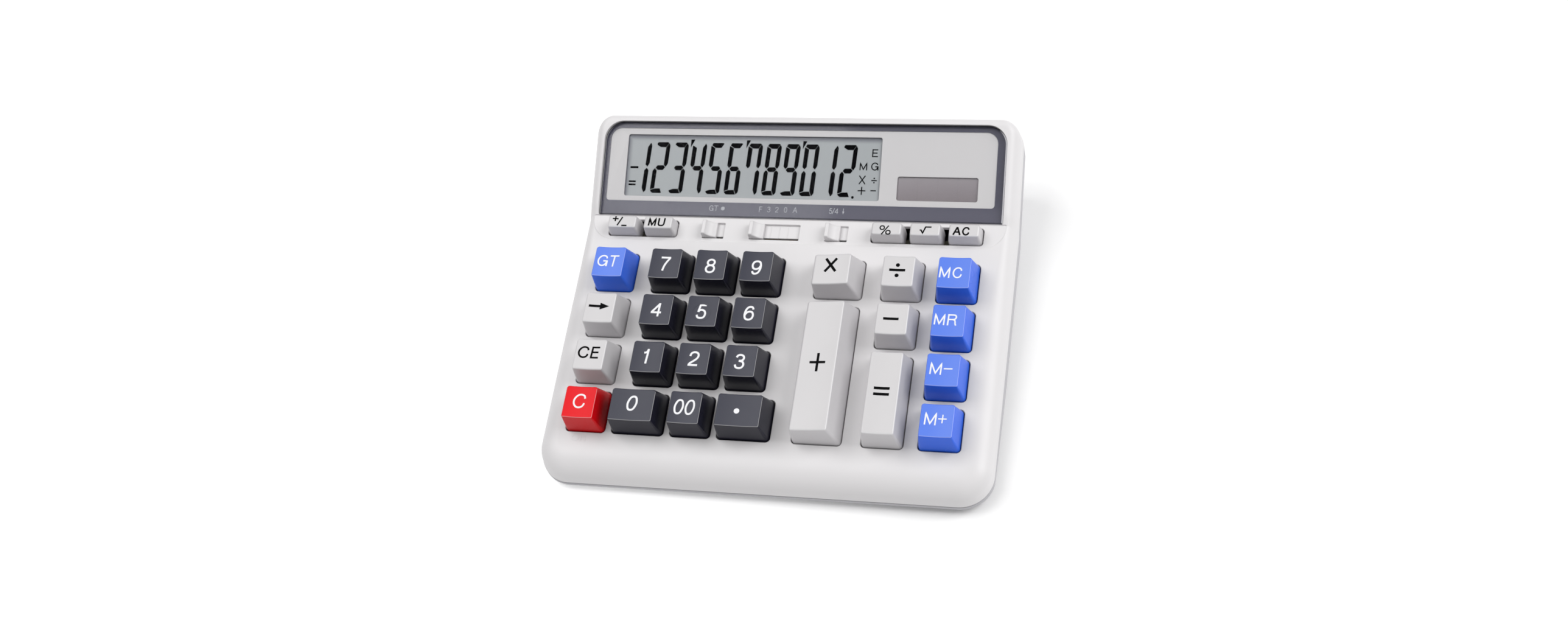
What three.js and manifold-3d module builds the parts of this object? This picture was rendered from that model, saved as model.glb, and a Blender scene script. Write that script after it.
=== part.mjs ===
// Desktop calculator with tall computer-style keys. Lengths are in millimetres.
// +X is the user's right, +Y the back, +Z up. The origin is on the table, under the middle of the case.
import * as THREE from 'three';
import Module from 'manifold-3d';
import { mergeVertices } from 'three/addons/utils/BufferGeometryUtils.js';

const wasm = await Module();
wasm.setup();

// Clearances
const seatGap = 0.3;
const keyClearance = 0.4;
const slideClearance = 0.25;
const screwClearance = 0.3;
const partingGap = 0.4;
const cutOverrun = 6;

// Key field, measured square to the key plate
const keyWidth = 15.8;
const keyDepth = 17;
const keyHeight = 12;
const columnGap = 3.2;
const rowGap = 3.8;
const functionGap = 8.2;
const operatorGap = 14.1;
const multiplyWidth = 19.1;
const divideGap = 8.1;
const memoryGap = 6.15;
const wideKeyExtra = 5;
const keyFieldShift = -0.7;
const keyFieldMargin = 12;

// Key caps
const keyTravel = 2.8;
const keyCornerRadius = 1.4;
const keyTopRadius = 1.1;
const keyEdgeRound = 0.5;
const keySideInset = 1.55;
const keyFrontInset = 0.7;
const keyBackInset = 2.9;
const leanLeftInset = 0.8;
const leanRightInset = 3.2;
const leanRise = 2.4;
const capWall = 1.4;
const capRoof = 1.8;
const flangeOverhang = 1.1;
const flangeThickness = 1.2;
const flangeLength = 8;
const stemRadius = 2.2;

// Small function keys behind the key field
const smallKeyWidth = 13.5;
const smallKeyDepth = 7.2;
const smallKeyHeight = 5.5;
const smallKeyGap = 2.1;
const smallSideInset = 0.7;
const smallFrontInset = 0.6;
const smallBackInset = 0.9;
const smallFlangeLength = 4;
const smallStemRadius = 1.6;
const leftSmallMargin = 0.6;
const rightSmallMargin = 0.3;

// Slide switches between the small keys
const knobWidth = 5.7;
const knobDepth = 6.7;
const knobHeight = 3.6;
const knobRidgeWidth = 1.6;
const knobFootHeight = 0.7;
const knobTabThickness = 0.8;
const knobTabWidth = 3.6;
const twoStepTravel = 2.9;
const selectorStep = 3.65;
const selectorSteps = 4;
const switchLeftGap = 10.8;
const switchRightGap = 9.7;
const slotDepth = 1;
const slotCornerRadius = 0.4;
const carrierDepth = 3.6;
const carrierHeight = 5.6;
const wiperThickness = 0.25;
const wiperWidth = 3;

// Case
const frontMargin = 17.4;
const smallRowGap = 9.3;
const foldMargin = 1.8;
const frontHeight = 15;
const frontCornerRadius = 13;
const backCornerRadius = 8.5;
const leastCornerRadius = 2; // the back corner keeps this much however far a ring is set in
const frontLipWidth = 10.5;
const sideLipWidth = 8.6;
const displayLipWidth = 5.3;
const frontLipDrop = 7.6;
const sideLipDrop = 6.4;
const displayLipDrop = 8;
const displayRimHeight = 0.7;
const rimFadeLength = 5;
const sideDraft = 0.5;
const caseWall = 2.2;
const seamDrop = 10.2;
const skirtHeight = 6;
const trayLeanShare = 0.26;
const lipTongueWall = 1.2;
const lipTongueHeight = 1.8;
const lipTongueRoot = 0.5;
const tongueRootHeight = 2.4;
const panelRecessDepth = 0.4;
const panelRecessMargin = 1.9;
const panelRecessSide = 4.1;
const panelRecessRadius = 10;
const footHeight = 1.2;
const baseEdgeRound = 3;
const plateSlope = THREE.MathUtils.degToRad(6);
const displaySlope = THREE.MathUtils.degToRad(23.9);

// Display, measured along and square to the face of the lens
const lcdSideMargin = 9.65;
const lcdWindowWidth = 108.85;
const windowGap = 7.25;
const solarWindowWidth = 32.95;
const solarSideMargin = 10.9;
const rimWidth = 5.8;
const backRimWidth = 5.4;
const lensFrontMargin = 0.5;
const lensDepth = 40.3;
const lensThickness = 1.6;
const lensTopRadius = 8;
const lensBottomRadius = 0.5;
const lensBevel = 0.5;
const displayPanelThickness = 0.4;
const lcdWindowBottom = 8.4;
const lcdWindowDepth = 26.1;
const solarWindowBottom = 8.6;
const solarWindowDepth = 9.8;
const windowRadius = 0.9;
const deckThickness = 2.5;
const deckMargin = 3;
const lcdBorder = 2.6;
const lcdThickness = 2.2;
const solarBorder = 1;
const solarThickness = 1.2;
const leadHoleRadius = 1.5;
const holderThickness = 1.5;
const holderBorder = 2.5;
const holderSlotDepth = 4;

// Rubber keypad, board and fasteners, measured square to the key plate
const stemClearanceHeight = 5.3;
const domeCollapsed = 0.4;
const domeBaseRadius = 3.6;
const domeTopRadius = 2.4;
const sheetThickness = 0.8;
const boardThickness = 1.4;
const boardSideMargin = 1;
const boardFrontMargin = 3.4;
const boardBackMargin = 3;
const boardCornerRadius = 3;
const boardBossRadius = 2.4;
const screwRadius = 1.1;
const boardPilotDepth = 6;
const chipRadius = 7;
const chipHeight = 1.6;
const ribbonWidth = 52;
const ribbonThickness = 0.3;
const leadRadius = 0.6;

// Battery bay at the back of the bottom case
const cellRadius = 7.1;
const cellLength = 48.5;
const cellNubRadius = 2.6;
const cellNubLength = 1;
const bayWall = 2.3;
const bayBackMargin = 10;
const springCoils = 5;
const springLength = 4.6;
const springWideRadius = 4.4;
const springNarrowRadius = 2.8;
const springWireRadius = 0.4;
const contactThickness = 0.4;
const contactSize = 11;
const doorBorder = 1;
const doorSlide = 6;
const doorClearance = 0.3;
const doorBackHeight = 6.5;
const doorRailThickness = 1.2;
const doorRailOverhang = 1.5;

// Case screws and rubber feet
const caseBossRadius = 3;
const standoffRadius = 3.8;
const caseScrewFront = 36;
const caseScrewBack = 43.5;
const caseScrewHeadRadius = 2.5;
const caseScrewHeadHeight = 1.8;
const caseScrewLength = 10;
const counterboreDepth = 3;
const standoffTop = 7.4;
const pilotDepth = 7;
const footRadius = 5.5;
const footPocketDepth = 0.9;
const footSideInset = 17;
const footFrontInset = 14;
const footBackInset = 19;

// Facet counts
const cornerSteps = 5;
const keyCornerSteps = 2;
const lipSteps = 4;
const roundSides = 16;
const smallRoundSides = 10;
const wireSides = 8;

// Places along the key plate, from the front wall of the case
const columnPitch = keyWidth + columnGap;
const rowPitch = keyDepth + rowGap;
const keyFieldWidth = 6 * keyWidth + 2 * columnGap + functionGap + operatorGap
  + multiplyWidth + divideGap + memoryGap;
const keyFieldLeft = keyFieldShift - keyFieldWidth / 2;
const rowCount = 4;
const smallRowFront = frontMargin + rowCount * keyDepth + (rowCount - 1) * rowGap + smallRowGap;
const smallRowMiddle = smallRowFront + smallKeyDepth / 2;
const plateLength = smallRowFront + smallKeyDepth + foldMargin;
const rowY = (row) => frontMargin + keyDepth / 2 + (rowCount - 1 - row) * rowPitch;
const columnX = {};
columnX.left = keyFieldLeft + keyWidth / 2;
columnX.first = columnX.left + keyWidth + functionGap;
columnX.second = columnX.first + columnPitch;
columnX.third = columnX.second + columnPitch;
columnX.multiply = columnX.third + keyWidth / 2 + operatorGap + multiplyWidth / 2;
columnX.divide = columnX.multiply + multiplyWidth / 2 + divideGap + keyWidth / 2;
columnX.memory = columnX.divide + keyWidth + memoryGap;

// The case is as wide as the wider of the key field and the display
const lensWidth = lcdSideMargin + lcdWindowWidth + windowGap + solarWindowWidth + solarSideMargin;
const bodyWidth = Math.max(lensWidth + 2 * rimWidth, keyFieldWidth + 2 * keyFieldMargin);
const halfWidth = bodyWidth / 2;
const displayLength = lensFrontMargin + lensDepth + backRimWidth;
const bodyDepth = plateLength * Math.cos(plateSlope) + displayLength * Math.cos(displaySlope);
const frontY = -bodyDepth / 2;
const backY = bodyDepth / 2;
const foldY = frontY + plateLength * Math.cos(plateSlope);
const foldZ = frontHeight + plateLength * Math.sin(plateSlope);

const plateFrame = new THREE.Matrix4()
  .makeTranslation(0, frontY, frontHeight)
  .multiply(new THREE.Matrix4().makeRotationX(plateSlope));
const displayFrame = new THREE.Matrix4()
  .makeTranslation(0, foldY, foldZ)
  .multiply(new THREE.Matrix4().makeRotationX(displaySlope));

// Solids, outlines and lofts

function solidOf(geometry) {
  const bare = geometry.clone();
  bare.deleteAttribute('normal');
  bare.deleteAttribute('uv');
  const merged = mergeVertices(bare);
  return new wasm.Manifold(new wasm.Mesh({
    numProp: 3,
    vertProperties: new Float32Array(merged.attributes.position.array),
    triVerts: new Uint32Array(merged.index.array),
  }));
}

function geometryOf(solid) {
  const mesh = solid.getMesh();
  const geometry = new THREE.BufferGeometry();
  geometry.setAttribute('position', new THREE.Float32BufferAttribute(mesh.vertProperties, 3));
  geometry.setIndex(new THREE.BufferAttribute(mesh.triVerts, 1));
  return geometry;
}

function joined(solids) {
  return solids.reduce((whole, solid) => whole.add(solid));
}

function cutBy(solid, cutters) {
  return cutters.reduce((rest, cutter) => rest.subtract(cutter), solid);
}

function box(x0, x1, y0, y1, z0, z1, frame) {
  const geometry = new THREE.BoxGeometry(x1 - x0, y1 - y0, z1 - z0);
  geometry.translate((x0 + x1) / 2, (y0 + y1) / 2, (z0 + z1) / 2);
  if (frame) geometry.applyMatrix4(frame);
  return solidOf(geometry);
}

function post(x, y, radius, z0, z1, sides, frame, topRadius = radius) {
  const geometry = new THREE.CylinderGeometry(topRadius, radius, z1 - z0, sides);
  geometry.rotateX(Math.PI / 2);
  geometry.translate(x, y, (z0 + z1) / 2);
  if (frame) geometry.applyMatrix4(frame);
  return solidOf(geometry);
}

// A rectangle from (x0, y0) to (x1, y1) with its own corner radius at the front and at the back
function roundedShape(x0, x1, y0, y1, frontRadius, backRadius = frontRadius) {
  const shape = new THREE.Shape();
  const quarter = Math.PI / 2;
  shape.absarc(x1 - frontRadius, y0 + frontRadius, frontRadius, -quarter, 0);
  shape.absarc(x1 - backRadius, y1 - backRadius, backRadius, 0, quarter);
  shape.absarc(x0 + backRadius, y1 - backRadius, backRadius, quarter, 2 * quarter);
  shape.absarc(x0 + frontRadius, y0 + frontRadius, frontRadius, 2 * quarter, 3 * quarter);
  return shape;
}

function slab(shape, z0, z1, curveSegments, frame) {
  const geometry = new THREE.ExtrudeGeometry(shape, { depth: z1 - z0, bevelEnabled: false, curveSegments });
  geometry.translate(0, 0, z0);
  if (frame) geometry.applyMatrix4(frame);
  return solidOf(geometry);
}

// A polygon of [y, z] points, extruded along X
function crossBar(profile, x0, x1, frame) {
  const shape = new THREE.Shape(profile.map(([y, z]) => new THREE.Vector2(y, z)));
  const geometry = new THREE.ExtrudeGeometry(shape, { depth: x1 - x0, bevelEnabled: false });
  geometry.rotateX(Math.PI / 2);
  geometry.rotateZ(Math.PI / 2);
  geometry.translate(x0, 0, 0);
  if (frame) geometry.applyMatrix4(frame);
  return solidOf(geometry);
}

function fanCap(count) {
  const triangles = [];
  for (let i = 1; i < count - 1; i += 1) triangles.push([0, i, i + 1]);
  return triangles;
}

// A mirror-symmetric ring, right side first, is closed by strips from right to left
function stripCap(count) {
  const triangles = [];
  for (let i = 0; i < count / 2 - 1; i += 1) {
    triangles.push([i, i + 1, count - 2 - i], [i, count - 2 - i, count - 1 - i]);
  }
  return triangles;
}

// Rings of [x, y, z] run counter-clockwise seen from above, the lowest ring first
function loft(rings, cap, frame) {
  const count = rings[0].length;
  const index = [];
  for (const [a, b, c] of cap(count)) index.push(a, c, b);
  for (let ring = 0; ring < rings.length - 1; ring += 1) {
    const low = ring * count;
    const high = low + count;
    for (let i = 0; i < count; i += 1) {
      const next = (i + 1) % count;
      index.push(low + i, low + next, high + next, low + i, high + next, high + i);
    }
  }
  const top = (rings.length - 1) * count;
  for (const [a, b, c] of cap(count)) index.push(top + a, top + b, top + c);
  const geometry = new THREE.BufferGeometry();
  geometry.setAttribute('position', new THREE.Float32BufferAttribute(rings.flat(2), 3));
  geometry.setIndex(index);
  if (frame) geometry.applyMatrix4(frame);
  return solidOf(geometry);
}

// Case outline: stations from the middle of the front round the right side to the middle of the back
const sideStations = [
  plateLength / 4,
  plateLength / 2,
  plateLength - 2 * smallRowGap,
  plateLength - smallRowGap,
].map((along) => frontY + along * Math.cos(plateSlope));

function caseStations() {
  const stations = [];
  const corner = (radius, centreY, start, mostInset = Infinity) => {
    for (let i = 0; i <= cornerSteps; i += 1) {
      const angle = start + (i / cornerSteps) * Math.PI / 2;
      const nx = Math.cos(angle);
      const ny = Math.sin(angle);
      stations.push({ x: halfWidth - radius + radius * nx, y: centreY + radius * ny, nx, ny, mostInset });
    }
  };
  corner(frontCornerRadius, frontY + frontCornerRadius, -Math.PI / 2);
  const sides = [...sideStations, foldY, foldY + rimFadeLength * Math.cos(displaySlope)];
  for (const y of sides) stations.push({ x: halfWidth, y, nx: 1, ny: 0, mostInset: Infinity });
  corner(backCornerRadius, backY - backCornerRadius, 0, backCornerRadius - leastCornerRadius);
  return stations;
}

const stations = caseStations();

function caseRing(insetAt, heightAt) {
  const right = stations.map((station) => {
    const inset = insetAt(station.y);
    const rounded = Math.min(inset, station.mostInset);
    const x = station.x - station.nx * rounded - (inset - rounded);
    const y = station.y - station.ny * rounded - (inset - rounded);
    return [x, y, heightAt(y)];
  });
  const left = right.map(([x, y, z]) => [-x, y, z]).reverse();
  return right.concat(left);
}

const smooth = (value) => THREE.MathUtils.smoothstep(value, 0, 1);
function faceZ(y) {
  if (y <= foldY) return frontHeight + (y - frontY) * Math.tan(plateSlope);
  const rise = Math.min((y - foldY) / (rimFadeLength * Math.cos(displaySlope)), 1);
  return foldZ + (y - foldY) * Math.tan(displaySlope) + rise * displayRimHeight / Math.cos(displaySlope);
}

// The seam follows the face all round. Below a skirt, the walls of the bottom case lean in
const seamZ = (y) => faceZ(y) - seamDrop;
const leanAt = (y, z) => trayLeanShare * Math.max(seamZ(y) - skirtHeight - z, 0);

// The lip is broad at the front, narrower at the sides and narrowest round the display
function lipBlend(y, front, side, display) {
  if (y < frontY + frontCornerRadius) {
    return THREE.MathUtils.lerp(front, side, smooth((y - frontY) / frontCornerRadius));
  }
  const fadeStart = frontY + plateLength / 2;
  return THREE.MathUtils.lerp(side, display, smooth((y - fadeStart) / (foldY - fadeStart)));
}
const lipWidth = (y) => lipBlend(y, frontLipWidth, sideLipWidth, displayLipWidth);
const lipDrop = (y) => lipBlend(y, frontLipDrop, sideLipDrop, displayLipDrop);

// The outside of the case above the seam, moved in by wall and down by roof
function caseBlock(wall, roof, startZ) {
  const rings = [caseRing(() => wall, startZ)];
  for (let i = 0; i <= lipSteps; i += 1) {
    const angle = (i / lipSteps) * Math.PI / 2;
    const inset = (y) => wall + sideDraft + (lipWidth(y) - sideDraft) * (1 - Math.cos(angle));
    rings.push(caseRing(inset, (y) => faceZ(y) - roof - lipDrop(y) * (1 - Math.sin(angle))));
  }
  return loft(rings, stripCap);
}

// Colours and roughness of the moulded and metal parts
const finish = (color, roughness, metalness = 0) => ({ color, roughness, metalness });
const look = {
  case: finish(0xe3e2e3, 0.45),
  figure: finish(0x44464f, 0.3),
  function: finish(0xe6e6e8, 0.38),
  memory: finish(0x4b78e6, 0.32),
  clear: finish(0xe01b22, 0.3),
  lens: { ...finish(0xdfe6ea, 0.05), transparent: true, opacity: 0.2 },
  panel: finish(0xcfcfcf, 0.6),
  glass: finish(0xa9b2b3, 0.2),
  cell: finish(0x857a7c, 0.25),
  rubber: finish(0x2a2a2c, 0.85),
  keypad: finish(0xd8d4c6, 0.8),
  board: finish(0x2e6b3a, 0.5),
  steel: finish(0xb9bcc0, 0.35, 1),
  brass: finish(0xc9a45a, 0.35, 1),
  battery: finish(0x3a5f8c, 0.4, 0.3),
  ribbon: finish(0xc98b3c, 0.5),
  lead: finish(0x9c2323, 0.6),
};

const calculator = new THREE.Group();
const plateGroup = new THREE.Group();
plateGroup.position.set(0, frontY, frontHeight);
plateGroup.rotation.x = plateSlope;
const displayGroup = new THREE.Group();
displayGroup.position.set(0, foldY, foldZ);
displayGroup.rotation.x = displaySlope;
calculator.add(plateGroup, displayGroup);

function place(group, name, solid, finishOfPart, x = 0, y = 0, z = 0) {
  const mesh = new THREE.Mesh(geometryOf(solid), new THREE.MeshStandardMaterial(finishOfPart));
  mesh.name = name;
  mesh.position.set(x, y, z);
  group.add(mesh);
}

// Depths below the face of the key plate
const flangeTop = -caseWall - seatGap;
const flangeBottom = flangeTop - flangeThickness;
const domeTop = -stemClearanceHeight - seatGap;
const sheetTop = domeTop - keyTravel - domeCollapsed;
const sheetBottom = sheetTop - sheetThickness;
const boardTop = sheetBottom - seatGap;
const boardBottom = boardTop - boardThickness;

// Keys by name, place, plan size and colour

const wideWidth = keyWidth + wideKeyExtra;
const tallDepth = (rows) => rows * keyDepth + (rows - 1) * rowGap;
const figureKeys = [
  ['key_7', 'first', 0], ['key_8', 'second', 0], ['key_9', 'third', 0],
  ['key_4', 'first', 1], ['key_5', 'second', 1], ['key_6', 'third', 1],
  ['key_1', 'first', 2], ['key_2', 'second', 2], ['key_3', 'third', 2],
];
const keys = figureKeys.map(([name, column, row]) => ({
  name, x: columnX[column], y: rowY(row), finish: look.figure,
}));
keys.push(
  { name: 'key_0', x: columnX.first - wideKeyExtra / 2, y: rowY(3), width: wideWidth, finish: look.figure },
  { name: 'key_00', x: columnX.second, y: rowY(3), finish: look.figure },
  { name: 'key_point', x: columnX.third + wideKeyExtra / 2, y: rowY(3), width: wideWidth, finish: look.figure },
  { name: 'key_grand_total', x: columnX.left, y: rowY(0), finish: look.memory },
  { name: 'key_backspace', x: columnX.left, y: rowY(1), finish: look.function },
  { name: 'key_clear_entry', x: columnX.left, y: rowY(2), finish: look.function },
  { name: 'key_clear', x: columnX.left, y: rowY(3), finish: look.clear },
  {
    name: 'key_multiply', x: columnX.multiply, y: rowY(0), width: multiplyWidth,
    lean: true, finish: look.function,
  },
  { name: 'key_divide', x: columnX.divide, y: rowY(0), finish: look.function },
  { name: 'key_minus', x: columnX.divide, y: rowY(1), finish: look.function },
  {
    name: 'key_plus', x: columnX.multiply, y: rowY(2), width: multiplyWidth, depth: tallDepth(3),
    lean: true, stems: [-rowPitch, rowPitch], finish: look.function,
  },
  {
    name: 'key_equals', x: columnX.divide, y: (rowY(2) + rowY(3)) / 2, depth: tallDepth(2),
    stems: [-rowPitch / 2, rowPitch / 2], finish: look.function,
  },
  { name: 'key_memory_clear', x: columnX.memory, y: rowY(0), finish: look.memory },
  { name: 'key_memory_recall', x: columnX.memory, y: rowY(1), finish: look.memory },
  { name: 'key_memory_minus', x: columnX.memory, y: rowY(2), finish: look.memory },
  { name: 'key_memory_plus', x: columnX.memory, y: rowY(3), finish: look.memory },
);

const smallPitch = smallKeyWidth + smallKeyGap;
const smallLeft = keyFieldLeft + leftSmallMargin + smallKeyWidth / 2;
const smallRight = keyFieldLeft + keyFieldWidth - rightSmallMargin - smallKeyWidth / 2;
const smallKeys = [
  { name: 'key_plus_minus', x: smallLeft },
  { name: 'key_mark_up', x: smallLeft + smallPitch },
  { name: 'key_percent', x: smallRight - 2 * smallPitch },
  { name: 'key_root', x: smallRight - smallPitch },
  { name: 'key_all_clear', x: smallRight },
].map((key) => ({
  ...key, y: smallRowMiddle, width: smallKeyWidth, depth: smallKeyDepth, small: true, finish: look.function,
}));
keys.push(...smallKeys);

function keyOutline(x0, x1, y0, y1, radius, heightAt) {
  const points = roundedShape(x0, x1, y0, y1, radius).extractPoints(keyCornerSteps).shape;
  return points.map((point) => [point.x, point.y, heightAt(point.x)]);
}

function keySolid(key) {
  const halfX = (key.width ?? keyWidth) / 2;
  const halfY = (key.depth ?? keyDepth) / 2;
  const height = key.small ? smallKeyHeight : keyHeight;
  const side = key.small ? smallSideInset : keySideInset;
  const left = key.lean ? leanLeftInset : side;
  const right = key.lean ? leanRightInset : side;
  const front = key.small ? smallFrontInset : keyFrontInset;
  const back = key.small ? smallBackInset : keyBackInset;
  const tilt = key.lean ? leanRise / (2 * halfX) : 0;
  const topAt = (drop) => (x) => height + tilt * x - drop;
  const topRing = (inset, drop) => keyOutline(
    left - halfX + inset, halfX - right - inset, front - halfY + inset, halfY - back - inset,
    keyTopRadius, topAt(drop),
  );
  const body = loft([
    keyOutline(-halfX, halfX, -halfY, halfY, keyCornerRadius, () => flangeBottom),
    keyOutline(-halfX, halfX, -halfY, halfY, keyCornerRadius, () => 0),
    topRing(0, keyEdgeRound),
    topRing(keyEdgeRound, 0),
  ], fanCap);
  const wingX = key.small ? smallFlangeLength / 2 : halfX + flangeOverhang;
  const wingY = key.small ? halfY + flangeOverhang : flangeLength / 2;
  const flange = box(-wingX, wingX, -wingY, wingY, flangeBottom, flangeTop);
  const corner = (inset, z) => [
    [inset - halfX, inset - halfY], [halfX - inset, inset - halfY],
    [halfX - inset, halfY - inset], [inset - halfX, halfY - inset],
  ].map(([x, y]) => [x, y, z(x)]);
  const hollowTop = [
    [left + capWall - halfX, front + capWall - halfY], [halfX - right - capWall, front + capWall - halfY],
    [halfX - right - capWall, halfY - back - capWall], [left + capWall - halfX, halfY - back - capWall],
  ].map(([x, y]) => [x, y, topAt(capRoof)(x)]);
  const hollow = loft([
    corner(capWall, () => flangeBottom - cutOverrun),
    corner(capWall, () => 0),
    hollowTop,
  ], fanCap);
  const stemR = key.small ? smallStemRadius : stemRadius;
  const stems = (key.stems ?? [0]).map((y) => (
    post(0, y, stemR, -stemClearanceHeight, height - capRoof / 2, smallRoundSides)
  ));
  return joined([body.add(flange).subtract(hollow), ...stems]);
}

for (const key of keys) place(plateGroup, key.name, keySolid(key), key.finish, key.x, key.y);

// Slide switches: the slots share the space between the two groups of small keys

const twoStepSlot = knobWidth + 2 * slideClearance + twoStepTravel;
const selectorTravel = selectorStep * selectorSteps;
const selectorSlot = knobWidth + 2 * slideClearance + selectorTravel;
const firstSlotLeft = smallLeft + smallPitch + smallKeyWidth / 2 + switchLeftGap + keyClearance;
const lastSlotRight = smallRight - 2 * smallPitch - smallKeyWidth / 2 - keyClearance - switchRightGap;
const slotSpan = lastSlotRight - firstSlotLeft;
const slotSpare = (slotSpan - 2 * twoStepSlot - selectorSlot) / 2;
const slots = [
  { name: 'grand_total_switch', x: firstSlotLeft, width: twoStepSlot },
  { name: 'decimal_switch', x: firstSlotLeft + twoStepSlot + slotSpare, width: selectorSlot },
  { name: 'rounding_switch', x: lastSlotRight - twoStepSlot, width: twoStepSlot },
];
const slotFront = smallRowFront - slideClearance;
const slotBack = slotFront + knobDepth + 2 * slideClearance;
const slotFloor = -panelRecessDepth - slotDepth;
const slitFront = slotFront;
const slitBack = slitFront + knobTabThickness + 2 * slideClearance;
const tabFront = slitFront + slideClearance;
const carrierBack = tabFront + carrierDepth;
const carrierTop = -caseWall - seatGap;
const carrierBottom = carrierTop - carrierHeight;

function knobSolid() {
  const base = slotFloor + seatGap;
  const ridge = -panelRecessDepth + knobHeight;
  const slope = new THREE.CubicBezierCurve(
    new THREE.Vector2(knobRidgeWidth, ridge),
    new THREE.Vector2(knobRidgeWidth + (knobWidth - knobRidgeWidth) / 3, ridge - knobHeight / 2),
    new THREE.Vector2(knobWidth - knobFootHeight, knobHeight / 2 - panelRecessDepth),
    new THREE.Vector2(knobWidth, knobFootHeight - panelRecessDepth),
  ).getPoints(keyCornerSteps + 2);
  const outline = [
    new THREE.Vector2(0, base), new THREE.Vector2(knobWidth, base), ...slope.reverse(),
    new THREE.Vector2(knobRidgeWidth / 3, ridge), new THREE.Vector2(0, ridge - knobRidgeWidth / 3),
  ];
  const geometry = new THREE.ExtrudeGeometry(new THREE.Shape(outline), {
    depth: knobDepth, bevelEnabled: false,
  });
  geometry.rotateX(Math.PI / 2);
  geometry.translate(0, slotBack - slideClearance, 0);
  const tabLeft = (knobWidth - knobTabWidth) / 2;
  const tabRight = tabLeft + knobTabWidth;
  const tab = box(tabLeft, tabRight, tabFront, tabFront + knobTabThickness, carrierBottom, 0);
  const carrier = box(tabLeft, tabRight, tabFront, carrierBack, carrierBottom, carrierTop);
  return joined([solidOf(geometry), tab, carrier]);
}

const wiperTop = carrierBottom - seatGap;
const wiperDrop = wiperTop - boardTop - seatGap;
function wiperSolid() {
  const tip = tabFront - wiperDrop;
  const underside = wiperTop - wiperThickness;
  const profile = [
    [carrierBack, wiperTop], [tabFront, wiperTop], [tip, boardTop + seatGap + wiperThickness],
    [tip, boardTop + seatGap], [tabFront, underside], [carrierBack, underside],
  ];
  return crossBar(profile, (knobWidth - wiperWidth) / 2, (knobWidth + wiperWidth) / 2);
}

for (const slot of slots) {
  place(plateGroup, `${slot.name}_knob`, knobSolid(), look.function, slot.x + slideClearance);
  place(plateGroup, `${slot.name}_wiper`, wiperSolid(), look.brass, slot.x + slideClearance);
}

// Display stack: depths below the face of the lens

const panelFace = -lensThickness - seatGap;
const pocketFloor = panelFace - displayPanelThickness - seatGap;
const deckBottom = pocketFloor - deckThickness;
const lensLeft = -lensWidth / 2;
const lensRight = lensWidth / 2;
const lensFront = lensFrontMargin;
const lensBack = lensFront + lensDepth;
const lcdLeft = lensLeft + lcdSideMargin;
const lcdRight = lcdLeft + lcdWindowWidth;
const solarRight = lensRight - solarSideMargin;
const solarLeft = solarRight - solarWindowWidth;
const lcdFront = lensFront + lcdWindowBottom;
const lcdBack = lcdFront + lcdWindowDepth;
const solarFront = lensFront + solarWindowBottom;
const solarBack = solarFront + solarWindowDepth;

function lensShape(inset) {
  const corner = Math.max(lensBottomRadius - inset, lensBottomRadius / 2);
  return roundedShape(
    lensLeft + inset, lensRight - inset, lensFront + inset, lensBack - inset, corner, lensTopRadius - inset,
  );
}

function lensRing(inset, z) {
  return lensShape(inset).extractPoints(cornerSteps).shape.map((point) => [point.x, point.y, z]);
}

place(displayGroup, 'display_lens', loft([
  lensRing(0, -lensThickness),
  lensRing(0, -lensBevel),
  lensRing(lensBevel, 0),
], fanCap), look.lens);

const lcdWindow = roundedShape(lcdLeft, lcdRight, lcdFront, lcdBack, windowRadius);
const solarWindow = roundedShape(solarLeft, solarRight, solarFront, solarBack, windowRadius);
place(displayGroup, 'display_panel', cutBy(
  slab(lensShape(seatGap), panelFace - displayPanelThickness, panelFace, cornerSteps),
  [lcdWindow, solarWindow].map((shape) => (
    slab(shape, panelFace - cutOverrun, panelFace + cutOverrun, keyCornerSteps)
  )),
), look.panel);

place(displayGroup, 'lcd_glass', box(
  lcdLeft - lcdBorder, lcdRight + lcdBorder, lcdFront - lcdBorder, lcdBack + lcdBorder,
  pocketFloor - lcdThickness, pocketFloor,
), look.glass);

place(displayGroup, 'solar_cell', box(
  solarLeft - solarBorder, solarRight + solarBorder, solarFront - solarBorder, solarBack + solarBorder,
  pocketFloor - solarThickness, pocketFloor,
), look.cell);

const holderTop = deckBottom - seatGap;
const holderLeft = lcdLeft - lcdBorder - holderBorder;
const holderRight = lcdRight + lcdBorder + holderBorder;
const holderFront = lcdFront - lcdBorder + holderSlotDepth;
place(displayGroup, 'lcd_holder', cutBy(
  box(holderLeft, holderRight, holderFront, lcdBack + lcdBorder / 2, holderTop - holderThickness, holderTop),
  [box(
    lcdLeft + lcdBorder, lcdRight - lcdBorder, holderFront + holderBorder, lcdBack - holderBorder,
    holderTop - cutOverrun, holderTop + cutOverrun,
  )],
), look.function);

// Top case: a shell with a deck under the display, bosses, key holes, slots and the display pocket

const tongueInset = caseWall + sideDraft + 2 * seatGap;
const screwSideX = halfWidth - tongueInset - lipTongueWall - seatGap - caseBossRadius;
const corners = [['front_left', -1, -1], ['front_right', 1, -1], ['back_left', -1, 1], ['back_right', 1, 1]];
const caseScrews = corners.map(([, side, end]) => (
  [side * screwSideX, end < 0 ? frontY + caseScrewFront : backY - caseScrewBack]
));
const boardBossX = [
  (columnX.left + columnX.first) / 2,
  columnX.third + (keyWidth + operatorGap) / 2,
  columnX.divide - (keyWidth + divideGap) / 2,
];
const boardScrews = boardBossX.flatMap((x) => [0, 2].map((row) => [x, rowY(row)]));
const topBossBottom = standoffTop + seatGap;

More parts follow.
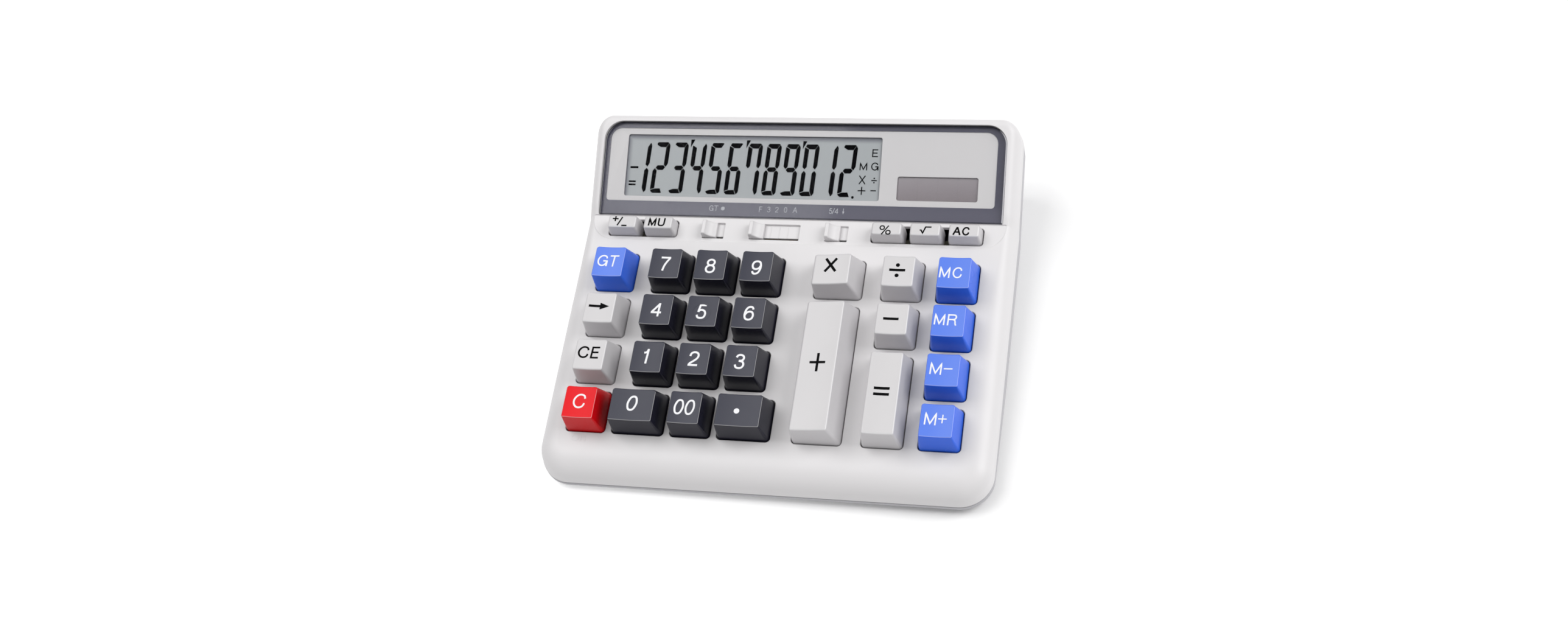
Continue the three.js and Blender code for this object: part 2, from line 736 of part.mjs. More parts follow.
function topCase() {
  const outer = caseBlock(0, 0, (y) => seamZ(y) + partingGap);
  const inner = caseBlock(caseWall, caseWall, (y) => seamZ(y) - cutOverrun);
  const deck = box(
    lensLeft - deckMargin, lensRight + deckMargin, 0, lensBack + deckMargin,
    deckBottom, cutOverrun, displayFrame,
  ).intersect(outer);
  const highZ = foldZ + displayLength;
  const caseBosses = caseScrews.map(([x, y]) => (
    post(x, y, caseBossRadius, topBossBottom, highZ, roundSides).intersect(
      outer.add(caseBlock(caseWall, caseWall, () => topBossBottom)),
    )
  ));
  const boardBosses = boardScrews.map(([x, y]) => (
    post(x, y, boardBossRadius, boardTop + seatGap, -caseWall / 2, smallRoundSides, plateFrame)
  ));
  const holes = keys.filter((key) => !key.small).map((key) => {
    const halfX = (key.width ?? keyWidth) / 2 + keyClearance;
    const halfY = (key.depth ?? keyDepth) / 2 + keyClearance;
    const shape = roundedShape(
      key.x - halfX, key.x + halfX, key.y - halfY, key.y + halfY, keyCornerRadius + keyClearance,
    );
    return slab(shape, -caseWall - cutOverrun / 2, cutOverrun, keyCornerSteps, plateFrame);
  });
  const smallGroups = [[smallKeys[0], smallKeys[1]], [smallKeys[2], smallKeys[4]]];
  const smallHoles = smallGroups.map(([first, last]) => slab(roundedShape(
    first.x - smallKeyWidth / 2 - keyClearance, last.x + smallKeyWidth / 2 + keyClearance,
    smallRowFront - keyClearance, smallRowFront + smallKeyDepth + keyClearance, keyCornerRadius,
  ), -caseWall - cutOverrun / 2, cutOverrun, keyCornerSteps, plateFrame));
  const recess = slab(roundedShape(
    panelRecessSide - halfWidth, halfWidth - panelRecessSide,
    smallRowFront - panelRecessMargin, plateLength + seatGap, panelRecessRadius, lensBottomRadius,
  ), -panelRecessDepth, cutOverrun, cornerSteps, plateFrame);
  const slotCuts = slots.flatMap((slot) => [
    slab(roundedShape(slot.x, slot.x + slot.width, slotFront, slotBack, slotCornerRadius),
      slotFloor, cutOverrun, keyCornerSteps, plateFrame),
    box(slot.x, slot.x + slot.width, slitFront, slitBack, -caseWall - cutOverrun / 2, 0, plateFrame),
  ]);
  const pocket = slab(lensShape(-seatGap), pocketFloor, cutOverrun, cornerSteps, displayFrame);
  const lcdCut = box(
    lcdLeft - lcdBorder - seatGap, lcdRight + lcdBorder + seatGap,
    lcdFront - lcdBorder - seatGap, lcdBack + lcdBorder + seatGap, deckBottom - cutOverrun, 0, displayFrame,
  );
  const solarCut = box(
    solarLeft - solarBorder - seatGap, solarRight + solarBorder + seatGap,
    solarFront - solarBorder - seatGap, solarBack + solarBorder + seatGap,
    pocketFloor - solarThickness - seatGap, 0, displayFrame,
  );
  const solarHole = post(
    (solarLeft + solarRight) / 2, (solarFront + solarBack) / 2, leadHoleRadius,
    deckBottom - cutOverrun / 2, 0, smallRoundSides, displayFrame,
  );
  const pilots = caseScrews.map(([x, y]) => post(
    x, y, screwRadius + screwClearance, topBossBottom - seatGap, topBossBottom + pilotDepth,
    smallRoundSides,
  ));
  const boardPilots = boardScrews.map(([x, y]) => post(
    x, y, screwRadius + screwClearance, boardTop, boardTop + boardPilotDepth,
    smallRoundSides, plateFrame,
  ));
  const shell = joined([outer.subtract(inner), deck, ...caseBosses, ...boardBosses]);
  return cutBy(shell, [
    ...holes, ...smallHoles, recess, ...slotCuts, pocket, lcdCut, solarCut, solarHole,
    ...pilots, ...boardPilots,
  ]);
}

place(calculator, 'top_case', topCase(), look.case);

// Rubber keypad and circuit board

const boardLeft = keyFieldLeft + boardSideMargin;
const boardRight = keyFieldLeft + keyFieldWidth - boardSideMargin;
const boardFront = frontMargin - boardFrontMargin;
const boardBack = plateLength - boardBackMargin;

const domes = keys.flatMap((key) => (key.stems ?? [0]).map((y) => {
  const scale = key.small ? smallStemRadius / stemRadius : 1;
  return post(
    key.x, key.y + y, domeBaseRadius * scale, sheetTop - sheetThickness / 2, domeTop,
    smallRoundSides, undefined, domeTopRadius * scale,
  );
}));
const ribbonLeft = (lcdLeft + lcdRight - ribbonWidth) / 2;
const wiperWindow = box(
  Math.min(slots[0].x, ribbonLeft) - seatGap, slots[2].x + slots[2].width + rowGap,
  slotFront - smallRowGap / 2, boardBack + cutOverrun, sheetBottom - cutOverrun, sheetTop + cutOverrun,
);
place(plateGroup, 'rubber_keypad', cutBy(
  joined([
    slab(roundedShape(boardLeft, boardRight, boardFront, boardBack, boardCornerRadius),
      sheetBottom, sheetTop, keyCornerSteps),
    ...domes,
  ]),
  [
    wiperWindow,
    ...boardScrews.map(([x, y]) => (
      post(x, y, boardBossRadius + seatGap, sheetBottom - cutOverrun, sheetTop + cutOverrun, smallRoundSides)
    )),
  ],
), look.keypad);

// The chip's cover is cast onto the underside of the board
const chipCover = post(
  columnX.second, (rowY(0) + rowY(1)) / 2, chipRadius / 2,
  boardBottom - chipHeight, boardBottom + boardThickness / 2, roundSides, undefined, chipRadius,
);
place(plateGroup, 'circuit_board', cutBy(
  slab(roundedShape(boardLeft, boardRight, boardFront, boardBack, boardCornerRadius),
    boardBottom, boardTop, keyCornerSteps).add(chipCover),
  boardScrews.map(([x, y]) => (
    post(x, y, screwRadius + screwClearance, boardBottom - cutOverrun, boardTop + cutOverrun, smallRoundSides)
  )),
), look.board);

// Bottom case with the battery bay, standoffs and foot pockets

const floorTop = footHeight + caseWall;
const railTop = floorTop + doorClearance + doorRailThickness;
const cellBottom = railTop + 2 * seatGap;
const cellZ = cellBottom + cellRadius;
const bayTop = cellZ + cellRadius + seatGap;
const bayHalf = cellLength / 2 + cellNubLength / 2 + springLength / 2 + contactThickness + 2 * seatGap;
const bayBack = backY - caseWall - bayBackMargin;
const bayFront = bayBack - 2 * cellRadius - 2 * seatGap;
const cellY = (bayFront + bayBack) / 2;
const doorHalf = bayHalf + doorBorder;
const doorFront = bayFront - doorBorder;
const railBack = bayBack + bayWall / 2 - doorSlide - doorClearance;

const footX = halfWidth - footSideInset;
const feet = corners.map(([, side, end]) => (
  [side * footX, end < 0 ? frontY + footFrontInset : backY - footBackInset]
));
const contactX = bayHalf - seatGap;
const leadX = contactX - contactThickness;

const leaningRing = (inset, z) => caseRing((y) => inset + leanAt(y, z), () => z);

function tray() {
  const outer = loft([
    leaningRing(baseEdgeRound, footHeight),
    leaningRing(baseEdgeRound / 3, footHeight + baseEdgeRound / 3),
    leaningRing(0, footHeight + baseEdgeRound),
    caseRing(() => 0, (y) => Math.max(seamZ(y) - skirtHeight, footHeight + baseEdgeRound + seatGap)),
    caseRing(() => 0, seamZ),
  ], stripCap);
  const inner = loft([
    leaningRing(caseWall + baseEdgeRound / 2, floorTop),
    leaningRing(caseWall, floorTop + baseEdgeRound / 3),
    caseRing(() => caseWall, (y) => Math.max(seamZ(y) - skirtHeight, floorTop + baseEdgeRound / 2)),
    caseRing(() => caseWall, (y) => seamZ(y) + cutOverrun),
  ], stripCap);
  return outer.subtract(inner);
}

function tongue() {
  const prism = (inset, lowZ, highZ) => (
    loft([caseRing(() => inset, lowZ), caseRing(() => inset, highZ)], stripCap)
  );
  const rootTop = (y) => seamZ(y) - seatGap;
  const low = (y) => seamZ(y) - Math.min(tongueRootHeight, (seamZ(y) - floorTop) / 2);
  const top = (y) => seamZ(y) + lipTongueHeight;
  const root = prism(caseWall - lipTongueRoot, low, rootTop);
  const blade = prism(tongueInset, low, top);
  const bore = prism(tongueInset + lipTongueWall, () => 0, (y) => top(y) + cutOverrun);
  return root.add(blade).subtract(bore);
}

const trayShell = tray();
const doorBox = (extra) => box(
  -doorHalf - extra, doorHalf + extra, doorFront - extra, backY + cutOverrun,
  -cutOverrun, doorBackHeight + extra,
);

function bottomCase() {
  const standoffs = caseScrews.map(([x, y]) => (
    post(x, y, standoffRadius, footHeight + caseWall / 2, standoffTop, roundSides)
  ));
  const bay = box(
    -bayHalf - bayWall, bayHalf + bayWall, bayFront - bayWall, bayBack + bayWall,
    floorTop - caseWall / 2, bayTop + bayWall,
  );
  const cavity = box(-bayHalf, bayHalf, bayFront, bayBack, -cutOverrun, bayTop);
  const rail = doorHalf + doorRailOverhang + doorClearance;
  const railCut = box(
    -rail, rail, doorFront - doorClearance, railBack + doorSlide + doorClearance,
    floorTop, railTop + doorClearance,
  );
  const screwHoles = caseScrews.flatMap(([x, y]) => [
    post(x, y, screwRadius + screwClearance, -cutOverrun, standoffTop + cutOverrun, smallRoundSides),
    post(x, y, caseScrewHeadRadius + screwClearance, -cutOverrun, footHeight + counterboreDepth, roundSides),
  ]);
  const footPockets = feet.map(([x, y]) => (
    post(x, y, footRadius + seatGap, -cutOverrun, footHeight + footPocketDepth, roundSides)
  ));
  const leadHoles = box(
    -bayHalf - bayWall - seatGap, bayHalf + bayWall + seatGap,
    cellY - leadHoleRadius, cellY + leadHoleRadius, cellZ - leadHoleRadius, cellZ + leadHoleRadius,
  );
  const whole = joined([trayShell, tongue(), ...standoffs, bay]);
  return cutBy(whole, [cavity, doorBox(doorClearance), railCut, ...screwHoles, ...footPockets, leadHoles]);
}

place(calculator, 'bottom_case', bottomCase(), look.case);

const doorRails = box(
  -doorHalf - doorRailOverhang, doorHalf + doorRailOverhang, doorFront, railBack,
  floorTop + doorClearance, railTop,
);
const doorRiser = box(-doorHalf, doorHalf, doorFront, railBack, floorTop - caseWall / 2, railTop);
place(calculator, 'battery_door', joined([trayShell.intersect(doorBox(0)), doorRiser, doorRails]), look.case);

const caseScrewTop = footHeight + counterboreDepth - seatGap;
const screwPost = (at, radius, low, high) => post(...at, radius, low, high, smallRoundSides);
corners.forEach(([corner], i) => {
  place(calculator, `foot_${corner}`, post(
    ...feet[i], footRadius, 0, footHeight + footPocketDepth - seatGap, roundSides,
  ), look.rubber);
  place(calculator, `case_screw_${corner}`, joined([
    screwPost(caseScrews[i], caseScrewHeadRadius, caseScrewTop - caseScrewHeadHeight, caseScrewTop),
    screwPost(caseScrews[i], screwRadius, caseScrewTop - seatGap, caseScrewTop + caseScrewLength),
  ]), look.steel);
});

// Battery, contacts and spring, along X

const alongX = new THREE.Matrix4()
  .makeTranslation(0, cellY, cellZ)
  .multiply(new THREE.Matrix4().makeRotationY(Math.PI / 2));
const cellStart = springLength / 2 - cellLength / 2 - cellNubLength / 2;
const cellEnd = cellStart + cellLength;
place(calculator, 'battery_cell', joined([
  post(0, 0, cellRadius, cellStart, cellEnd, roundSides, alongX),
  post(0, 0, cellNubRadius, cellEnd - cellNubLength, cellEnd + cellNubLength, roundSides, alongX),
]), look.battery);

const contactBox = (x0, x1) => box(
  x0, x1, cellY - contactSize / 2, cellY + contactSize / 2, cellZ - contactSize / 2, cellZ + contactSize / 2,
);
place(calculator, 'battery_contact', contactBox(leadX, contactX), look.brass);

// A conical spring whose wire is swept along one helix, fused to its base plate
function springSolid() {
  const start = -leadX - springWireRadius / 2;
  const end = cellStart - seatGap - springWireRadius;
  const points = [];
  const stepsPerCoil = 8;
  const steps = springCoils * stepsPerCoil;
  for (let i = 0; i <= steps; i += 1) {
    const share = i / steps;
    const angle = share * springCoils * 2 * Math.PI;
    const radius = THREE.MathUtils.lerp(springWideRadius, springNarrowRadius, share);
    points.push(new THREE.Vector3(
      THREE.MathUtils.lerp(start, end, share),
      cellY + radius * Math.cos(angle),
      cellZ + radius * Math.sin(angle),
    ));
  }
  const section = new THREE.Shape();
  const sectionSides = 5;
  for (let i = 0; i < sectionSides; i += 1) {
    const angle = (i / sectionSides) * 2 * Math.PI;
    const x = springWireRadius * Math.cos(angle);
    const y = springWireRadius * Math.sin(angle);
    if (i === 0) section.moveTo(x, y);
    else section.lineTo(x, y);
  }
  section.closePath();
  const wire = new THREE.ExtrudeGeometry(section, {
    steps, bevelEnabled: false, extrudePath: new THREE.CatmullRomCurve3(points),
  });
  return solidOf(wire).add(contactBox(-contactX, -leadX));
}
place(calculator, 'battery_spring', springSolid(), look.steel);

// Flat ribbon from the back of the glass down to the board, and the two battery leads

const toDisplay = (along, depth) => new THREE.Vector3(0, along, depth).applyMatrix4(displayFrame);
const toPlate = (x, along, depth) => new THREE.Vector3(x, along, depth).applyMatrix4(plateFrame);
const ribbonTop = pocketFloor - lcdThickness - seatGap;
const ribbonRun = [
  toDisplay(lcdFront + lcdBorder / 2, ribbonTop),
  toDisplay(lcdFront, ribbonTop),
  toDisplay(lcdFront - lcdBorder, deckBottom - 2 * seatGap - holderThickness),
  toPlate(0, boardBack + lensFrontMargin, boardTop + 2 * seatGap + ribbonThickness),
  toPlate(0, boardBack - boardBackMargin, boardTop + seatGap + ribbonThickness),
];
function ribbonSolid() {
  const upper = ribbonRun.map((point) => [point.y, point.z]);
  const lower = ribbonRun.map((point) => [point.y, point.z - ribbonThickness]).reverse();
  return crossBar(upper.concat(lower), ribbonLeft, ribbonLeft + ribbonWidth);
}
place(calculator, 'lcd_ribbon', ribbonSolid(), look.ribbon);

function leadSolid(points) {
  const section = new THREE.Shape();
  section.absarc(0, 0, leadRadius, 0, 2 * Math.PI);
  const curve = new THREE.CatmullRomCurve3(points);
  return solidOf(new THREE.ExtrudeGeometry(section, {
    steps: 14, bevelEnabled: false, curveSegments: wireSides / 2, extrudePath: curve,
  }));
}

const leadBoardY = boardBack - 2 * boardBackMargin;
const batteryLead = (side) => {
  const outside = side * (bayHalf + bayWall + columnGap);
  const landing = toPlate(side * keyWidth, leadBoardY, boardBottom - seatGap - leadRadius / 2);
  return leadSolid([
    new THREE.Vector3(side * (contactX + seatGap), cellY, cellZ),
    new THREE.Vector3(outside, cellY, cellZ),
    new THREE.Vector3(outside + side * columnGap, cellY - cellRadius, cellZ),
    new THREE.Vector3(outside, bayFront - bayWall - cellRadius, landing.z - cellRadius / 2),
    new THREE.Vector3(landing.x + side * columnGap, landing.y + leadHoleRadius, landing.z - cellRadius / 2),
    landing,
  ]);
};
place(calculator, 'battery_lead_left', batteryLead(-1), look.lead);
place(calculator, 'battery_lead_right', batteryLead(1), look.lead);

export default calculator;
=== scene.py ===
import math

import bpy
import numpy as np
from mathutils import Matrix, Vector


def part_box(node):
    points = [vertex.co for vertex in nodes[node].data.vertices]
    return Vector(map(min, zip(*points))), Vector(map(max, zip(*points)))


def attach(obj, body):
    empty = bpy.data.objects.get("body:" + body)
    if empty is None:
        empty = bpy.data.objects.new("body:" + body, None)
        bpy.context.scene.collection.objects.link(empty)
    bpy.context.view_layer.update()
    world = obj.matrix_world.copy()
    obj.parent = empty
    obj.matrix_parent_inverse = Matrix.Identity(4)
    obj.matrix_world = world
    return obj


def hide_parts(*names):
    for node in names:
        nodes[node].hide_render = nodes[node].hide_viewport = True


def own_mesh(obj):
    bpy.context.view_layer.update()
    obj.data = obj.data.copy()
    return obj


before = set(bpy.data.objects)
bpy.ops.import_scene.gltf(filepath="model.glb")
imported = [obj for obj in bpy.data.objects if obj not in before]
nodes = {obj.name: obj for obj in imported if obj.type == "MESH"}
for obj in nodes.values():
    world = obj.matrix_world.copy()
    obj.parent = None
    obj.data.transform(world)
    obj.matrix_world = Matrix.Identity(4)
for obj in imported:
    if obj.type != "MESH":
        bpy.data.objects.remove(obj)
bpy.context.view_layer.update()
mm = 0.001
print("frame loaded with", len(nodes), "solids")

# camera at the viewing angle of the photograph, place in millimetres, turn in degrees
viewpoint = {
    "place": (180.826, -383.166, 619.216),
    "turn": (33.498, 10.785, 9.613),
    "focalPixels": 3009.18,
    "imageWidth": 2576,
    "sensor": 36,
}

cameraData = bpy.data.cameras.new("viewCamera")
cameraData.sensor_width = viewpoint["sensor"]
cameraData.lens = viewpoint["sensor"] * viewpoint["focalPixels"] / viewpoint["imageWidth"]
camera = bpy.data.objects.new("viewCamera", cameraData)
camera.location = Vector(viewpoint["place"]) * mm
camera.rotation_euler = [math.radians(angle) for angle in viewpoint["turn"]]
bpy.context.scene.collection.objects.link(camera)
bpy.context.scene.camera = camera
bpy.context.scene.view_settings.view_transform = "Standard"

# lengths in millimetres, the same as the solids have
keyField = {
    "width": 15.8, "depth": 17, "height": 12, "columnGap": 3.2, "rowGap": 3.8, "functionGap": 8.2,
    "operatorGap": 14.1, "multiplyWidth": 19.1, "divideGap": 8.1, "memoryGap": 6.15, "wideExtra": 5,
    "shift": -0.7, "margin": 12, "clearance": 0.4, "travel": 2.8, "holeCorner": 1.8, "holeFlare": 0.3,
}
smallRow = {
    "width": 13.5, "depth": 7.2, "height": 5.5, "gap": 2.1, "leftMargin": 0.6, "rightMargin": 0.3,
    "rowGap": 9.3, "foldMargin": 1.8, "holeCorner": 1.4, "holeFlare": 0.2,
}
caseShape = {
    "frontMargin": 17.4, "frontHeight": 15, "frontCorner": 13, "backCorner": 8.5, "leastCorner": 2,
    "wall": 2.2, "draft": 0.5, "frontLip": 10.5, "sideLip": 8.6, "displayLip": 5.55, "frontDrop": 7.6,
    "sideDrop": 6.4, "displayDrop": 8, "rimHeight": 0.7, "rimFade": 5, "seamDrop": 10.2, "skirt": 6,
    "leanShare": 0.26, "partingGap": 0.4, "seatGap": 0.3, "plateSlope": 6, "displaySlope": 23.9,
    "rimWidth": 5.8, "backRim": 5.7, "recessDepth": 0.4, "recessMargin": 1.9, "recessSide": 4.1,
    "recessCorner": 10, "recessBackCorner": 0.5, "recessFlare": 0.35, "edgeRound": 0.3, "edgeSteps": 3,
    "lipSteps": 14, "cornerSteps": 16, "sideSteps": 22,
}
displayShape = {
    "lcdSide": 9.65, "lcdWidth": 108.85, "windowGap": 7.25, "solarWidth": 32.95, "solarSide": 10.9,
    "frontMargin": 0.5, "depth": 40, "lens": 1.6, "topCorner": 8, "bottomCorner": 0.5, "bevel": 0.5,
    "lensGap": 0.15, "lensSoft": 0.06, "pocketFlare": 0.15, "panel": 0.4, "lcdBottom": 8.4,
    "lcdDepth": 26.1, "solarBottom": 8.6, "solarDepth": 9.8, "windowCorner": 0.9, "windowFlare": 0.12,
    "deck": 2.5, "deckMargin": 3, "lcdBorder": 2.6, "solarBorder": 1, "solarThickness": 1.2,
    "leadHole": 1.5, "filmGap": 0.08, "cornerSteps": 14,
}
# how far cutters run past what they cut
overrun = {"near": 3, "far": 6}
# how many flat sides a round piece has
roundSides = {"screw": 20, "stem": 24, "post": 32, "pocket": 40, "foot": 48}

seat = caseShape["seatGap"]
wall = caseShape["wall"]
plateSlope = math.radians(caseShape["plateSlope"])
displaySlope = math.radians(caseShape["displaySlope"])
columnPitch = keyField["width"] + keyField["columnGap"]
rowPitch = keyField["depth"] + keyField["rowGap"]
fieldWidth = (6 * keyField["width"] + 2 * keyField["columnGap"] + keyField["functionGap"]
              + keyField["operatorGap"] + keyField["multiplyWidth"] + keyField["divideGap"]
              + keyField["memoryGap"])
fieldLeft = keyField["shift"] - fieldWidth / 2
smallFront = caseShape["frontMargin"] + 4 * keyField["depth"] + 3 * keyField["rowGap"] + smallRow["rowGap"]
plateLength = smallFront + smallRow["depth"] + smallRow["foldMargin"]
lensWidth = (displayShape["lcdSide"] + displayShape["lcdWidth"] + displayShape["windowGap"]
             + displayShape["solarWidth"] + displayShape["solarSide"])
halfWidth = max(lensWidth + 2 * caseShape["rimWidth"], fieldWidth + 2 * keyField["margin"]) / 2
displayLength = displayShape["frontMargin"] + displayShape["depth"] + caseShape["backRim"]
bodyDepth = plateLength * math.cos(plateSlope) + displayLength * math.cos(displaySlope)
frontY, backY = -bodyDepth / 2, bodyDepth / 2
foldY = frontY + plateLength * math.cos(plateSlope)
foldZ = caseShape["frontHeight"] + plateLength * math.sin(plateSlope)
plateFrame = Matrix.Translation((0, frontY, caseShape["frontHeight"])) @ Matrix.Rotation(plateSlope, 4, "X")
displayFrame = Matrix.Translation((0, foldY, foldZ)) @ Matrix.Rotation(displaySlope, 4, "X")


def rowAlong(row):
    return caseShape["frontMargin"] + keyField["depth"] / 2 + (3 - row) * rowPitch


columnX = {"left": fieldLeft + keyField["width"] / 2}
columnX["first"] = columnX["left"] + keyField["width"] + keyField["functionGap"]
columnX["second"] = columnX["first"] + columnPitch
columnX["third"] = columnX["second"] + columnPitch
columnX["multiply"] = (columnX["third"] + keyField["width"] / 2 + keyField["operatorGap"]
                       + keyField["multiplyWidth"] / 2)
columnX["divide"] = (columnX["multiply"] + keyField["multiplyWidth"] / 2 + keyField["divideGap"]
                     + keyField["width"] / 2)
columnX["memory"] = columnX["divide"] + keyField["width"] + keyField["memoryGap"]


# mesh helpers, all in millimetres until the mesh is made
def buildMesh(name, points, faces, place=None):
    spots = np.array(points, float)
    if place is not None:
        turn = np.array(place)
        spots = spots @ turn[:3, :3].T + turn[:3, 3]
    mesh = bpy.data.meshes.new(name)
    mesh.from_pydata((spots * mm).tolist(), [], faces)
    piece = bpy.data.objects.new(name, mesh)
    bpy.context.scene.collection.objects.link(piece)
    return piece


def ringLoft(name, rings, place=None, mirror=None, closed=False):
    # the end rings get a face each, or join each other where the loft is closed, as a frame is
    # rings with a mirror line end in strips: point i lies across from point mirror - i
    count = len(rings[0])
    points = [point for ring in rings for point in ring]
    faces = []
    for level in range(len(rings) if closed else len(rings) - 1):
        low, high = level * count, (level + 1) % len(rings) * count
        for i in range(count):
            j = (i + 1) % count
            faces.append((low + i, low + j, high + j, high + i))
    top = (len(rings) - 1) * count
    if mirror is not None:
        last = mirror // 2
        for i in range(last - count // 2, last + mirror % 2):
            strip = list(dict.fromkeys(corner % count for corner in (i, i + 1, mirror - i - 1, mirror - i)))
            if len(strip) > 2:
                faces.append(tuple(top + corner for corner in strip))
                faces.append(tuple(reversed(strip)))
    elif not closed:
        faces.append(tuple(range(top, top + count)))
        faces.append(tuple(range(count - 1, -1, -1)))
    return buildMesh(name, points, faces, place)


def atHeight(outline, z):
    return [(x, y, z) for x, y in outline]


def corners(x0, x1, y0, y1):
    return [(x0, y0), (x1, y0), (x1, y1), (x0, y1)]


def grown(bounds, by):
    x0, x1, y0, y1 = bounds
    return x0 - by, x1 + by, y0 - by, y1 + by


def block(x0, x1, y0, y1, z0, z1, place=None):
    return ringLoft("block", [atHeight(corners(x0, x1, y0, y1), z) for z in (z0, z1)], place)


def turned(name, profile, sides, place=None, x=0, y=0):
    turns = [2 * math.pi * i / sides for i in range(sides)]
    return ringLoft(name, [[(x + radius * math.cos(turn), y + radius * math.sin(turn), z) for turn in turns]
                           for radius, z in profile], place)


def pegs(places, radius, low, high, sides, place=None):
    return [turned("peg", [(radius, low), (radius, high)], sides, place, x, y) for x, y in places]


def roundedOutline(x0, x1, y0, y1, front, back=None, cornerSteps=8, sideSteps=1):
    # front and back are corner radii, the same at the back unless it is given
    back = front if back is None else back
    turns = [(x1 - front, y0 + front, front, -90), (x1 - back, y1 - back, back, 0),
             (x0 + back, y1 - back, back, 90), (x0 + front, y0 + front, front, 180)]
    outline = []
    for index, (centreX, centreY, radius, start) in enumerate(turns):
        for step in range(cornerSteps + 1):
            angle = math.radians(start + 90 * step / cornerSteps)
            outline.append((centreX + radius * math.cos(angle), centreY + radius * math.sin(angle)))
        nextX, nextY, nextRadius, nextStart = turns[(index + 1) % 4]
        angle = math.radians(nextStart)
        target = Vector((nextX + nextRadius * math.cos(angle), nextY + nextRadius * math.sin(angle)))
        last = Vector(outline[-1])
        for step in range(1, sideSteps):
            outline.append(tuple(last.lerp(target, step / sideSteps)))
    return outline


def settle(piece):
    # the modifiers become the mesh
    graph = bpy.context.evaluated_depsgraph_get()
    made = bpy.data.meshes.new_from_object(piece.evaluated_get(graph), preserve_all_data_layers=True,
                                           depsgraph=graph)
    piece.modifiers.clear()
    old = piece.data
    piece.data = made
    bpy.data.meshes.remove(old)


def shape(piece, tool, operation="DIFFERENCE"):
    step = piece.modifiers.new("shape", "BOOLEAN")
    step.object = tool
    step.operation = operation
    step.solver = "MANIFOLD"
    settle(piece)
    bpy.data.objects.remove(tool)


def gathered(pieces):
    # several separate solids as one mesh, to cut with all at once
    points, faces = [], []
    for piece in pieces:
        start = len(points)
        points += [tuple(v.co / mm) for v in piece.data.vertices]
        faces += [tuple(start + i for i in face.vertices) for face in piece.data.polygons]
        bpy.data.objects.remove(piece)
    return buildMesh("gathered", points, faces)


def copied(piece):
    twin = piece.copy()
    twin.data = piece.data.copy()
    bpy.context.scene.collection.objects.link(twin)
    return twin


def quarter(steps):
    # a quarter round in even steps: the share gone across and the share left to rise
    turns = [math.pi / 2 * step / steps for step in range(steps + 1)]
    return [(1 - math.cos(turn), 1 - math.sin(turn)) for turn in turns]


def flaredCutter(outlineAt, floor, flare, place, topAt=lambda y: 0):
    # straight walls from the floor, then a quarter round that opens out at the surface
    rings = [atHeight(outlineAt(0), floor)]
    for across, up in quarter(4):
        rings.append([(x, y, topAt(y) - flare * up) for x, y in outlineAt(flare * across)])
    return ringLoft("flared", rings + [atHeight(outlineAt(flare), overrun["far"])], place)


def opening(bounds, corner, floor, flare, place, surface=0, cornerSteps=8):
    return flaredCutter(lambda by: roundedOutline(*grown(bounds, by), corner + by, cornerSteps=cornerSteps),
                        floor, flare, place, lambda y: surface)


def dress(piece, material, body, replaces=(), angle=32, even=True):
    mesh = piece.data
    mesh.materials.clear()
    mesh.materials.append(material)
    mesh.polygons.foreach_set("use_smooth", [True] * len(mesh.polygons))
    mesh.set_sharp_from_angle(angle=math.radians(angle))
    if even:
        step = piece.modifiers.new("evenShading", "WEIGHTED_NORMAL")
        step.keep_sharp = True
        settle(piece)
    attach(piece, body)
    if replaces:
        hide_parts(*replaces)
    return piece


# node helpers
def paint(red, green, blue):
    # screen values from 0 to 255 as a linear colour
    def straight(value):
        share = value / 255
        return share / 12.92 if share <= 0.04045 else ((share + 0.055) / 1.055) ** 2.4
    return (straight(red), straight(green), straight(blue), 1)


def give(tree, socket, value):
    # another node's output is linked, anything else is set on the socket itself
    if isinstance(value, bpy.types.NodeSocket):
        tree.links.new(value, socket)
    else:
        socket.default_value = value


def giveAll(tree, sockets, **values):
    for label, value in values.items():
        give(tree, sockets[label.replace("_", " ")], value)


def newGroup(name, outputs, **inputs):
    group = bpy.data.node_groups.new(name, "ShaderNodeTree")
    kinds = {True: "NodeSocketColor", False: "NodeSocketFloat"}
    for label, value in inputs.items():
        kind = kinds[isinstance(value, tuple)]
        socket = group.interface.new_socket(name=label.replace("_", " "), in_out="INPUT", socket_type=kind)
        socket.default_value = value
    for label in outputs:
        group.interface.new_socket(name=label, in_out="OUTPUT", socket_type=kinds[label == "Color"])
    given = group.nodes.new("NodeGroupInput").outputs if inputs else None
    return group, given, group.nodes.new("NodeGroupOutput").inputs


def add(tree, kind, **settings):
    node = tree.nodes.new(kind)
    for setting, value in settings.items():
        setattr(node, setting, value)
    return node


def objectPlace(tree):
    return add(tree, "ShaderNodeTexCoord").outputs["Object"]


def along(tree, vector, axis):
    split = add(tree, "ShaderNodeSeparateXYZ")
    tree.links.new(vector, split.inputs[0])
    return split.outputs[axis]


def facing(tree, direction):
    # 1 where the surface faces the direction, 0 at right angles to it
    dot = add(tree, "ShaderNodeVectorMath", operation="DOT_PRODUCT")
    dot.inputs[1].default_value = direction
    tree.links.new(add(tree, "ShaderNodeTexCoord").outputs["Normal"], dot.inputs[0])
    return dot.outputs["Value"]


def noise(tree, place, scale, detail=2, roughness=0.5):
    node = add(tree, "ShaderNodeTexNoise")
    giveAll(tree, node.inputs, Vector=place, Scale=scale, Detail=detail, Roughness=roughness)
    return node.outputs["Fac"]


def calculate(tree, operation, *values, clamp=False):
    node = add(tree, "ShaderNodeMath", operation=operation, use_clamp=clamp)
    for socket, value in zip(node.inputs, values):
        give(tree, socket, value)
    return node.outputs[0]


def times(tree, first, second):
    return calculate(tree, "MULTIPLY", first, second)


